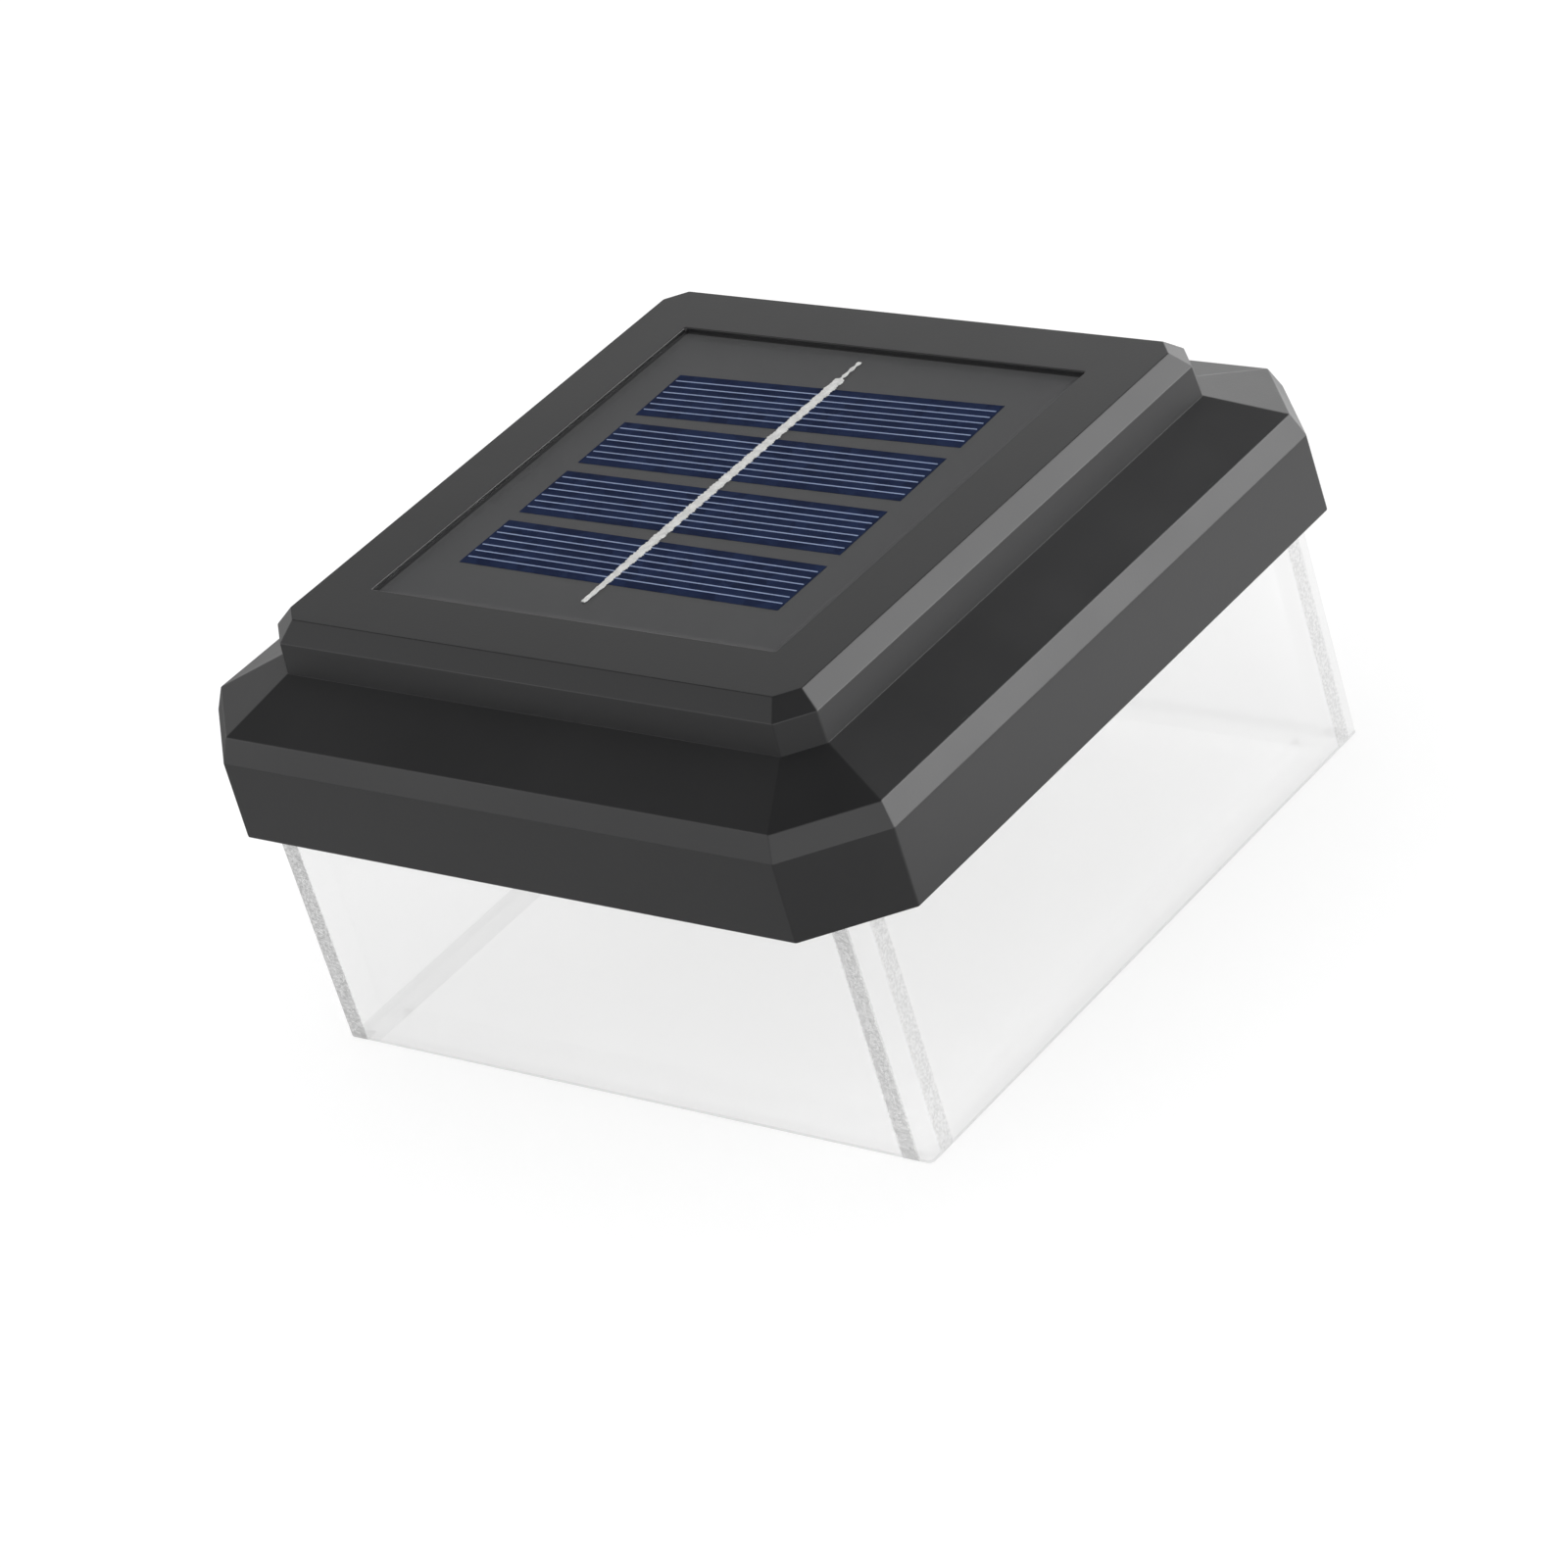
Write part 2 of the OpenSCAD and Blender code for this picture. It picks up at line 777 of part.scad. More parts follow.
// Four screws that clamp tray, lens and gasket to the cap
module tray_screws() {
    color(steel_grey)
        at_bosses()
            screw_up(
                tray_screw_d, tray_screw_l, tray_screw_head_d, tray_screw_head_h,
                plate_low_z - tray_screw_head_h
            );
}

// Printed control board with its two screw holes
module control_board() {
    color(board_green)
        difference() {
            block(
                [-board_l / 2, board_y - board_d / 2, board_under_z],
                [board_l / 2, board_y + board_d / 2, board_face_z]
            );
            for (side = [-1, 1])
                translate([side * board_screw_x, board_y, board_under_z - over])
                    cylinder(d = board_screw_d + screw_hole_slack, h = board_t + 2 * over);
        }
}

// Two screws that hold the board, heads up
module board_screws() {
    color(steel_grey)
        for (side = [-1, 1])
            translate([side * board_screw_x, board_y, board_face_z])
                mirror([0, 0, 1])
                    screw_up(
                        board_screw_d, board_screw_l, board_screw_head_d, board_screw_head_h,
                        -board_screw_head_h
                    );
}

// Driver chip with its legs
module driver_chip() {
    leg_span = (chip_pins - 1) * chip_pin_pitch;
    color(rubber_black)
        translate([0, board_y, board_face_z])
            union() {
                block([-chip_l / 2, -chip_d / 2, chip_lift], [chip_l / 2, chip_d / 2, chip_lift + chip_h]);
                for (i = [0:chip_pins - 1])
                    translate([i * chip_pin_pitch - leg_span / 2, 0, 0])
                        block(
                            [-chip_pin_w / 2, -chip_d / 2 - chip_pin_reach, 0],
                            [chip_pin_w / 2, chip_d / 2 + chip_pin_reach, chip_lift + chip_pin_w]
                        );
            }
}

// Wound choke on its bobbin
module choke_coil() {
    color(steel_grey)
        translate([coil_x, board_y + board_part_dy, board_face_z])
            rotate_extrude()
                polygon([
                    [0, 0], [coil_r, 0], [coil_r, coil_flange_t],
                    [coil_waist_r, coil_flange_t], [coil_waist_r, coil_h - coil_flange_t],
                    [coil_r, coil_h - coil_flange_t], [coil_r, coil_h], [0, coil_h],
                ]);
}

// Small electrolytic capacitor with its crimped groove
module storage_capacitor() {
    color(steel_grey)
        translate([can_x, board_y + board_part_dy, board_face_z])
            rotate_extrude()
                polygon([
                    [0, 0], [can_r, 0], [can_r, can_groove_z],
                    [can_groove_r, can_groove_z + can_groove_h / 2],
                    [can_r, can_groove_z + can_groove_h], [can_r, can_h], [0, can_h],
                ]);
}

// The four lamp places
module at_leds() {
    for (sx = [-1, 1], sy = [-1, 1])
        translate([sx * led_x, board_y + sy * led_dy, 0])
            children();
}

// Four lamps that look down through the floor
module leds() {
    r = led_d / 2;
    low = floor_low_z - led_out;
    color(lamp_warm)
        at_leds()
            union() {
                translate([0, 0, low + r])
                    sphere(r = r);
                translate([0, 0, low + r])
                    cylinder(r = r, h = floor_top_z - low - r);
                translate([0, 0, floor_top_z])
                    cylinder(r = led_flange_r, h = led_flange_t);
                for (side = [-1, 1])
                    translate([side * led_lead_pitch / 2, 0, 0])
                        block(
                            [-led_lead_w / 2, -led_lead_w / 2, floor_top_z],
                            [led_lead_w / 2, led_lead_w / 2, board_under_z]
                        );
            }
}

// Body of the slide switch, with the slot that guides the slider
module switch_body() {
    low = board_under_z - switch_h;
    slot_l = (slider_l + switch_travel) / 2 + slider_fit;
    slot_d = slider_d / 2 + slider_fit;
    color(steel_grey)
        difference() {
            block(
                [-switch_l / 2, board_y - switch_d / 2, low],
                [switch_l / 2, board_y + switch_d / 2, board_under_z]
            );
            block(
                [-slot_l, board_y - slot_d, low - over],
                [slot_l, board_y + slot_d, low + slider_in + slider_end_gap]
            );
        }
}

// Slider of the switch, in its off position
module switch_slider() {
    x = -switch_travel / 2;
    low = board_under_z - switch_h;
    color(rubber_black)
        block(
            [x - slider_l / 2, board_y - slider_d / 2, floor_low_z - slider_out],
            [x + slider_l / 2, board_y + slider_d / 2, low + slider_in]
        );
}

// Rechargeable battery cell with its nub
module battery() {
    r = battery_d / 2;
    color(steel_grey)
        translate([bay_half_l - contact_t, battery_y, battery_z])
            rotate([0, -90, 0])
                rotate_extrude()
                    polygon([
                        [0, 0], [nub_r, 0], [nub_r, nub_l], [r - battery_edge, nub_l],
                        [r, nub_l + battery_edge], [r, battery_l - battery_edge],
                        [r - battery_edge, battery_l], [0, battery_l],
                    ]);
}

// Centre line of the contact spring, a cone of curls from its plate to the cell
spring_steps = spring_curls * spring_rings;
spring_from_x = contact_t - bay_half_l + spring_wire_d / 2 + spring_touch;
spring_to_x = spring_from_x + spring_l - spring_wire_d - 2 * spring_touch;
function spring_point(i) =
    let (
        t = i / spring_steps,
        turn = 360 * i / spring_rings,
        r = spring_wide_r + (spring_narrow_r - spring_wide_r) * t
    )
    [
        spring_from_x + (spring_to_x - spring_from_x) * t,
        battery_y + r * cos(turn),
        battery_z + r * sin(turn),
    ];
spring_path = [for (i = [0:spring_steps]) spring_point(i)];
spring_self_gap = min([
    for (i = [0:spring_steps]) for (k = [i + spring_rings / 2:1:spring_steps])
        norm(spring_path[i] - spring_path[k]) - spring_wire_d
]);
echo(spring_self_gap = spring_self_gap);

// Contact spring as one unbroken wire
module battery_spring() {
    axis = [0, battery_y, battery_z];
    points = [
        for (i = [0:spring_steps])
            let (
                d = path_dir(
                    spring_path, i,
                    unit(spring_path[1] - spring_path[0]),
                    unit(spring_path[spring_steps] - spring_path[spring_steps - 1])
                ),
                out = spring_path[i] - axis - [spring_path[i][0], 0, 0]
            )
            each ring_points(spring_path[i], d, out, spring_wire_d / 2, spring_sides)
    ];
    color(steel_grey)
        polyhedron(points = points, faces = tube_faces(spring_steps + 1, spring_sides));
}

// Contact plate against one end of the bay, with its solder tab through the bay's wall
module contact_plate(side) {
    x = side * (bay_half_l - contact_t / 2);
    color(tin_silver)
        union() {
            block(
                [x - contact_t / 2, battery_y - contact_w / 2, battery_z - contact_h / 2],
                [x + contact_t / 2, battery_y + contact_w / 2, battery_z + contact_h / 2]
            );
            block(
                [x - contact_t / 2, bay_front_y - well_wall - tab_out, battery_z + tab_rise],
                [x + contact_t / 2, battery_y, battery_z + tab_rise + tab_h]
            );
        }
}

// Plate that the nub presses on
module contact_positive() {
    contact_plate(1);
}

// Plate that carries the spring
module contact_negative() {
    contact_plate(-1);
}

// Battery door with its grip ridges and screw holes
module battery_door() {
    color(tray_white)
        difference() {
            union() {
                translate([0, battery_y, 0])
                    rounded_plate(door_half_l, door_half_d, door_corner_r, door_low_z, door_t);
                for (i = [0:door_grip_n - 1])
                    translate([(i - (door_grip_n - 1) / 2) * door_grip_pitch, battery_y, door_low_z])
                        block(
                            [-door_grip_w / 2, -door_grip_l / 2, -door_grip_h],
                            [door_grip_w / 2, door_grip_l / 2, door_t / 2]
                        );
            }
            for (side = [-1, 1])
                translate([side * door_screw_x, battery_y, door_low_z - over])
                    cylinder(d = door_screw_d + screw_hole_slack, h = door_t + 2 * over);
        }
}

// Rubber seal round the battery opening
module door_seal() {
    outer_l = bay_half_l + seal_inset + seal_w;
    outer_d = bay_half_d + seal_inset + seal_w;
    color(rubber_black)
        translate([0, battery_y, 0])
            difference() {
                block([-outer_l, -outer_d, seal_low_z], [outer_l, outer_d, seal_low_z + seal_t]);
                block(
                    [seal_w - outer_l, seal_w - outer_d, seal_low_z - over],
                    [outer_l - seal_w, outer_d - seal_w, seal_low_z + seal_t + over]
                );
            }
}

// Two screws of the battery door
module door_screws() {
    color(steel_grey)
        for (side = [-1, 1])
            translate([side * door_screw_x, battery_y, 0])
                screw_up(
                    door_screw_d, door_screw_l, door_screw_head_d, door_screw_head_h,
                    door_low_z - door_screw_head_h
                );
}

// Lead from a panel pad straight down through the grommet, then in a curve to the board
module panel_lead(side) {
    down = [0, 0, -1];
    pad = [side * lead_pair_x, grommet_y, board_low_z - panel_pad_t];
    leave = [side * lead_pair_x, grommet_y, pan_under_z - grommet_flange_t];
    land = [side * lead_land_x, grommet_y, board_face_z];
    lead(concat([pad], curve_points(leave, down, land, down)), down, down, [0, 1, 0]);
}

// Positive panel lead
module lead_panel_red() {
    color(wire_red)
        panel_lead(1);
}

// Negative panel lead
module lead_panel_black() {
    color(rubber_black)
        panel_lead(-1);
}

// Lead from a contact tab down to the board
module battery_lead(side) {
    outward = [0, -1, 0];
    down = [0, 0, -1];
    tab = [
        side * (bay_half_l - contact_t / 2), bay_front_y - well_wall - tab_out,
        battery_z + tab_rise + tab_h / 2,
    ];
    land = [side * battery_lead_x, board_back_y - battery_lead_inset, board_face_z];
    lead(curve_points(tab, outward, land, down), outward, down, [1, 0, 0]);
}

// Positive battery lead
module lead_battery_red() {
    color(wire_red)
        battery_lead(1);
}

// Negative battery lead
module lead_battery_black() {
    color(rubber_black)
        battery_lead(-1);
}

cap_shell();
panel_board();
solar_cells();
cell_ribbon();
panel_film();
panel_tape();
panel_pads();
lead_grommet();
lens();
lens_gasket();
tray();
tray_screws();
control_board();
board_screws();
driver_chip();
choke_coil();
storage_capacitor();
leds();
switch_body();
switch_slider();
battery();
battery_spring();
contact_positive();
contact_negative();
battery_door();
door_seal();
door_screws();
lead_panel_red();
lead_panel_black();
lead_battery_red();
lead_battery_black();
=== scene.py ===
"""Looks of a solar post cap light: stepped cap, solar panel, clear lens and the works inside."""
import logging
import math
from dataclasses import dataclass
from enum import Enum
from typing import Sequence

import bmesh
import bpy
from mathutils import Matrix, Vector


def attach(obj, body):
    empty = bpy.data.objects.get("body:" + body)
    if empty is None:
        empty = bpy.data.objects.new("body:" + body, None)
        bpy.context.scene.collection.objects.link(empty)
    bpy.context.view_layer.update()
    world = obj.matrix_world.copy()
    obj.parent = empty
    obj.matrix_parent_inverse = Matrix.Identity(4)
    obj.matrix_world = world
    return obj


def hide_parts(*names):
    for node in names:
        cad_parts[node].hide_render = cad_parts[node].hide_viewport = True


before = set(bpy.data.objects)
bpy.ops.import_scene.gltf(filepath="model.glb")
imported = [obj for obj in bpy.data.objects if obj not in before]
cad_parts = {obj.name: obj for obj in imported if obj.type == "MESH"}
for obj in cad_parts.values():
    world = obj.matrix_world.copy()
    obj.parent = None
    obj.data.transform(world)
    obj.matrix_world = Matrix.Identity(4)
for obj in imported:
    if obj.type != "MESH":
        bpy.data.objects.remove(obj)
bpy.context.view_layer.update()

LOG = logging.getLogger("post_cap_light")
MM = 0.001
ROOT_BODY = "cap_and_lens"
DOOR_BODY = "door"
SWITCH_BODY = "switch"

Colour = tuple[float, float, float]
Point = tuple[float, float, float]
Loop = list[Vector]
Waves = tuple[tuple[float, float, float], ...]
Socket = bpy.types.NodeSocket
Finish = bpy.types.Material
Finishes = dict[str, Finish]
Piece = bpy.types.Object

WHITE = (1.0, 1.0, 1.0, 1.0)
EDGE_ANGLE = 32.0
FLAT_ANGLE = 0.6
BEVEL_ANGLE = 24.0
CAD_MERGE = 2e-7
OWN_MERGE = 1e-7
SPIRAL_STEPS = 28
WIRE_SIDES = 8


class Metal(Enum):
    """Metals of the small hardware, by the look of their surface."""

    ZINC = "zinc"
    TIN = "tin"
    STAMPED = "stamped"


# Materials


class Filler:
    """Short calls to fill a node tree."""

    def __init__(self, tree: bpy.types.NodeTree) -> None:
        """Take the tree that is filled.

        Args:
            tree: The tree.
        """
        self.tree = tree

    def join(self, source: Socket, target: Socket) -> None:
        """Link one socket to another."""
        self.tree.links.new(source, target)

    def add(self, kind: str, values: dict | None = None, **settings: object) -> bpy.types.Node:
        """Add a node.

        Args:
            kind: Blender's name for the node's type.
            values: Input names or numbers, each with a value or a socket to link.
            settings: Properties of the node.

        Returns:
            The new node.
        """
        node = self.tree.nodes.new(kind)
        for key, value in settings.items():
            setattr(node, key, value)
        for key, value in (values or {}).items():
            if isinstance(value, Socket):
                self.join(value, node.inputs[key])
            else:
                node.inputs[key].default_value = value
        return node

    def reckon(self, operation: str, *values: float | Socket) -> Socket:
        """Join values by one operation.

        Args:
            operation: Blender's name for the operation.
            values: The values or sockets in order.

        Returns:
            The socket with the result.
        """
        return self.add("ShaderNodeMath", dict(enumerate(values)), operation=operation).outputs[0]

    def spread(
        self, source: Socket, low: float | Socket, high: float | Socket, start: float = 0.3,
        end: float = 0.7, way: str = "LINEAR",
    ) -> Socket:
        """Stretch a pattern to a range of values.

        Args:
            source: The pattern.
            low: Value where the pattern is at start.
            high: Value where the pattern is at end.
            start: Lower end of the pattern's useful range.
            end: Upper end of the pattern's useful range.
            way: Blender's name for the course between the ends.

        Returns:
            The socket with the stretched pattern.
        """
        values = {"Value": source, "From Min": start, "From Max": end, "To Min": low, "To Max": high}
        return self.add("ShaderNodeMapRange", values, interpolation_type=way).outputs["Result"]


class Sheet(Filler):
    """One material's node tree."""

    def __init__(self, name: str) -> None:
        """Start a material that holds one surface shader.

        Args:
            name: Name of the material.
        """
        self.material = bpy.data.materials.new(name)
        self.material.use_nodes = True
        super().__init__(self.material.node_tree)
        self.tree.nodes.clear()
        self.output = self.add("ShaderNodeOutputMaterial")
        self.shader = self.add("ShaderNodeBsdfPrincipled")
        self.finish_with(self.shader.outputs[0])
        self.place = self.add("ShaderNodeTexCoord").outputs["Object"]

    def finish_with(self, surface: Socket) -> None:
        """Take a shader as the material's surface."""
        self.join(surface, self.output.inputs["Surface"])

    def noise(self, scale: float, detail: float = 4.0) -> Socket:
        """Add a noise pattern in the object's own space.

        Args:
            scale: Patches per metre.
            detail: Number of finer layers.

        Returns:
            The socket that gives the pattern from 0 to 1.
        """
        values = {"Vector": self.place, "Scale": scale, "Detail": detail, "Roughness": 0.55}
        return self.add("ShaderNodeTexNoise", values).outputs["Fac"]

    def blend(self, share: Socket, first: Colour, second: Colour) -> Socket:
        """Mix two colours.

        Args:
            share: How much of the second colour shows, from 0 to 1.
            first: Colour at 0.
            second: Colour at 1.

        Returns:
            The socket with the mixed colour.
        """
        node = self.add("ShaderNodeMix", {0: share}, data_type="RGBA")
        node.inputs[6].default_value = (*first, 1.0)
        node.inputs[7].default_value = (*second, 1.0)
        return node.outputs[2]

    def relief(self, height: Socket, depth: float, strength: float) -> None:
        """Raise and sink the surface by a pattern.

        Args:
            height: The pattern.
            depth: Depth of the relief in metres.
            strength: Share of the relief that is shown.
        """
        values = {"Height": height, "Distance": depth, "Strength": strength}
        bump = self.add("ShaderNodeBump", values)
        self.join(bump.outputs["Normal"], self.shader.inputs["Normal"])

    def drive(self, name: str, source: Socket) -> None:
        """Link a pattern to one of the shader's inputs."""
        self.join(source, self.shader.inputs[name])

    def fix(self, **values: float | tuple) -> None:
        """Set constants on the shader's own sockets, with _ for the spaces in their names."""
        for key, value in values.items():
            self.shader.inputs[key.replace("_", " ")].default_value = value


@dataclass(frozen=True)
class MouldedPlastic:
    """Satin moulded plastic with a fine grain and faint uneven gloss."""

    name: str
    colour: Colour
    roughness: float = 0.34
    shade: float = 0.12
    grain_per_m: float = 2600.0
    grain_depth: float = 0.00002
    grain_strength: float = 0.35
    patch_per_m: float = 38.0
    specular: float = 0.5

    def build(self) -> Finish:
        """Make the material.

        Returns:
            The finished material.
        """
        sheet = Sheet(self.name)
        patches = sheet.noise(self.patch_per_m)
        grain = sheet.noise(self.grain_per_m, 2.0)
        dark = tuple(c * (1 - self.shade) for c in self.colour)
        light = tuple(min(c * (1 + self.shade), 1.0) for c in self.colour)
        sheet.drive("Base Color", sheet.blend(patches, dark, light))
        sheet.drive("Roughness", sheet.spread(patches, self.roughness - 0.04, self.roughness + 0.05))
        sheet.relief(grain, self.grain_depth, self.grain_strength)
        sheet.fix(Specular_IOR_Level=self.specular)
        return sheet.material


@dataclass(frozen=True)
class SiliconCells:
    """Polycrystalline silicon: navy crystals of slightly different tone."""

    name: str = "navy_silicon"
    dark: Colour = (0.0035, 0.009, 0.035)
    light: Colour = (0.0085, 0.0175, 0.056)
    crystal_per_m: float = 420.0

    def build(self) -> Finish:
        """Make the material.

        Returns:
            The finished material.
        """
        sheet = Sheet(self.name)
        crystals = sheet.add("ShaderNodeTexVoronoi", {"Vector": sheet.place, "Scale": self.crystal_per_m})
        tone = sheet.add("ShaderNodeSeparateColor", {"Color": crystals.outputs["Color"]})
        sheet.drive("Base Color", sheet.blend(tone.outputs[0], self.dark, self.light))
        sheet.drive("Roughness", sheet.spread(tone.outputs[1], 0.26, 0.42, 0.0, 1.0))
        sheet.relief(sheet.noise(3000.0, 2.0), 0.000006, 0.2)
        sheet.fix(Specular_IOR_Level=0.003)
        return sheet.material


@dataclass(frozen=True)
class SmallMetal:
    """Bare or plated metal with fine brushing and dull patches."""

    name: str
    kind: Metal

    def build(self) -> Finish:
        """Make the material.

        Returns:
            The finished material.
        """
        # Colour, roughness, grains per metre, depth of the grain, metallic share, dull patches' share
        looks = {
            Metal.ZINC: ((0.5, 0.5, 0.51), 0.3, 700.0, 0.00001, 1.0, 0.8),
            Metal.TIN: ((1.0, 1.0, 0.98), 0.55, 5200.0, 0.0002, 0.05, 0.42),
            Metal.STAMPED: ((0.58, 0.58, 0.59), 0.26, 900.0, 0.000008, 1.0, 0.8),
        }
        colour, roughness, per_m, depth, metallic, reflected_painted_shade = looks[self.kind]
        sheet = Sheet(self.name)
        patches = sheet.noise(per_m / 6)
        grain = sheet.noise(per_m, 5.0)
        sheet.drive("Base Color", sheet.blend(patches, tuple(c * reflected_painted_shade for c in colour), colour))
        sheet.drive("Roughness", sheet.spread(patches, roughness - 0.07, roughness + 0.12))
        sheet.relief(grain, depth, 0.6)
        sheet.fix(Metallic=metallic)
        return sheet.material


@dataclass(frozen=True)
class ClearMoulding:
    """Clear plastic, grey and speckled in upright bands at its corners and grey along its foot, with painted
    shade on its left half, on its left bands, on one half of each corner band and on its sole at the left.
    """

    name: str
    colour: Colour = (0.99, 0.99, 0.99)
    roughness: float = 0.04
    ior: float = 1.49
    shadow: float = 0.96
    alpha: float = 0.12
    grey_colour: Colour = (0.42, 0.42, 0.42)
    bands: tuple[float, float, float, float] = (1.0, 1.1, 1.2, 1.3)
    band_share: float = 0.72
    between: float = 0.16
    wall: float = 0.0015
    outer_from: float = 0.0
    # Painted shade: the corner bands are weaker on one half of each corner and stronger on the left half.
    weak_half_of_painted_shade: float = 0.55
    left_band_painted_shade: float = 1.2
    cloud: float = 0.14
    # Painted shade: how grey the left half of the wall is, above the plastic's own even grey.
    left_tint_and_painted_shade: float = 0.2
    foot_line: float = 0.0001
    foot_share: float = 0.3
    # Painted shade: where the grey sole at the left foot ends, and how grey it is.
    shaded_sole_from: float = 1.0
    shaded_sole_share: float = 0.2
    speckle_per_m: float = 2400.0
    speckle_start: float = 0.62
    speckle_ends: tuple[float, float] = (0.38, 0.62)
    # Painted shade: on the left half the bands fall off less between them.
    left_tail_painted_shade: float = 0.95
    diagonal: float = 0.0004
    # Where the painted shade of the left half is at its fullest; it fades out towards the middle.
    left_shade_from: float = -0.045
    turn: float = 0.01
    fade: float = 0.0001

    def greying(self, sheet: Sheet) -> tuple[Socket, Socket]:
        """Patterns of the grey places: corner bands and a line along the foot, and painted shade on the left
        half, the left bands, one half of each corner band and the sole at the left.

        Args:
            sheet: The material's sheet.

        Returns:
            The socket that is 1 where the plastic is grey, and the one for the painted shade of its sole
            alone.
        """
        spread, reckon = sheet.spread, sheet.reckon

        def by_side(left: float, right: float) -> Socket:
            """Value that changes from the left half to the right half."""
            return spread(x, left, right, -self.turn, self.turn)

        def times(first: Socket, *others: Socket) -> Socket:
            """Multiply patterns."""
            for other in others:
                first = reckon("MULTIPLY", first, other)
            return first

        x, y, height = sheet.add("ShaderNodeSeparateXYZ", {0: sheet.place}).outputs
        across, along = reckon("ABSOLUTE", x), reckon("ABSOLUTE", y)
        least = reckon("ADD", reckon("MINIMUM", across, along), by_side(-self.wall, 0.0))
        most = reckon("MAXIMUM", across, along)
        rise = spread(least, 0.0, 1.0, self.bands[0], self.bands[1])
        # Painted shade: on the left the bands stay strong towards the middle of the wall.
        fall = spread(least, 1.0, by_side(self.left_tail_painted_shade, self.between), self.bands[2], self.bands[3])
        grain = sheet.noise(self.speckle_per_m, 3.0)
        speckle = spread(grain, self.speckle_start * self.band_share, self.band_share, *self.speckle_ends)
        # Painted shade: one half of each corner band is weakened, and the left bands are strengthened.
        slant = reckon("SUBTRACT", across, along)
        side = spread(slant, 1.0, self.weak_half_of_painted_shade, -self.diagonal, self.diagonal)
        band = times(rise, fall, speckle, side, by_side(self.left_band_painted_shade, 1.0))
        # Painted shade: the outer wall greys more towards the left half, on top of the plastic's own even
        # grey.
        band = reckon("MAXIMUM", band, spread(x, self.left_tint_and_painted_shade, self.cloud, self.left_shade_from, 0.0))
        foot = spread(height, self.foot_share, 0.0, self.foot_line / 2, self.foot_line)
        outer = spread(most, 0.0, 1.0, self.outer_from, self.outer_from + 3 * self.fade)
        band = times(reckon("MAXIMUM", band, foot), outer)
        # Painted shade: a grey sole on the bottom face at the left foot, seen from above through the wall.
        left = spread(x, 1.0, 0.1, -self.shaded_sole_from, self.fade - self.shaded_sole_from)
        shaded_sole = times(left, spread(height, self.shaded_sole_share, 0.0, self.fade / 5, self.fade))
        return reckon("MAXIMUM", band, shaded_sole), shaded_sole

    def build(self) -> Finish:
        """Make the material, clear to shadow rays so that light reaches what is inside.

        Each wall is drawn by the face that it turns to the eye, as a thin clear wall looks.

        Returns:
            The finished material.
        """
        sheet = Sheet(self.name)
        flow = sheet.noise(60.0, 3.0)
        sheet.drive("Roughness", sheet.spread(flow, self.roughness * 0.6, self.roughness * 1.6))
        sheet.fix(
            Base_Color=(*self.colour, 1.0), Transmission_Weight=1.0, IOR=self.ior, Alpha=self.alpha,
        )

        def mixed(share: Socket, first: Socket, second: Socket) -> Socket:
            """Mix two surfaces."""
            return sheet.add("ShaderNodeMixShader", {0: share, 1: first, 2: second}).outputs[0]

        open_air = sheet.add("ShaderNodeBsdfTransparent").outputs[0]
        grey_look = sheet.add("ShaderNodeBsdfDiffuse", {"Color": (*self.grey_colour, 1.0)}).outputs[0]
        greying, shaded_sole = self.greying(sheet)
        back = sheet.add("ShaderNodeNewGeometry").outputs["Backfacing"]
        # The painted shade of the sole stays drawn on the bottom's back face.
        unseen = sheet.reckon("SUBTRACT", back, shaded_sole)
        wall = mixed(unseen, mixed(greying, sheet.shader.outputs[0], grey_look), open_air)
        tint = (self.shadow, self.shadow, self.shadow, 1.0)
        passing = sheet.add("ShaderNodeBsdfTransparent", {"Color": tint}).outputs[0]
        in_shadow = sheet.add("ShaderNodeLightPath").outputs["Is Shadow Ray"]
        sheet.finish_with(mixed(in_shadow, wall, passing))
        return sheet.material


@dataclass(frozen=True)
class FrontFilm:
    """Thin clear laminate over the cells, seen only by its satin gloss."""

    name: str = "front_film_gloss"
    alpha: float = 0.03
    roughness: float = 0.3
    specular: float = 0.3

    def build(self) -> Finish:
        """Make the material.

        Returns:
            The finished material.
        """
        sheet = Sheet(self.name)
        waves = sheet.noise(90.0, 2.0)
        sheet.drive("Roughness", sheet.spread(waves, self.roughness - 0.05, self.roughness + 0.08))
        sheet.relief(waves, 0.00003, 0.15)
        sheet.fix(Base_Color=(0.07, 0.075, 0.09, 1.0), Alpha=self.alpha, Specular_IOR_Level=self.specular)
        return sheet.material


# Meshes


def new_piece(name: str, data: bpy.types.ID) -> Piece:
    """Link a mesh or a camera to the scene under a name.

    Args:
        name: Name of the piece.
        data: The finished mesh, in the frame's own place, or the camera.

    Returns:
        The new object.
    """
    piece = bpy.data.objects.new(name, data)
    bpy.context.scene.collection.objects.link(piece)
    return piece


def shade(piece: Piece, angle_deg: float = EDGE_ANGLE) -> None:
    """Shade a piece smooth, but for its sharp edges.

    Args:
        piece: The piece.
        angle_deg: Edges sharper than this stay sharp.
    """
    for polygon in piece.data.polygons:
        polygon.use_smooth = True
    work = bmesh.new()
    work.from_mesh(piece.data)
    limit = math.radians(angle_deg)
    for edge in work.edges:
        edge.smooth = len(edge.link_faces) == 2 and edge.calc_face_angle(math.pi) < limit
    work.to_mesh(piece.data)
    work.free()
    steady = piece.modifiers.new("flat_faces_stay_flat", "WEIGHTED_NORMAL")
    steady.mode = "FACE_AREA_WITH_ANGLE"
    steady.weight = 100
    steady.keep_sharp = True


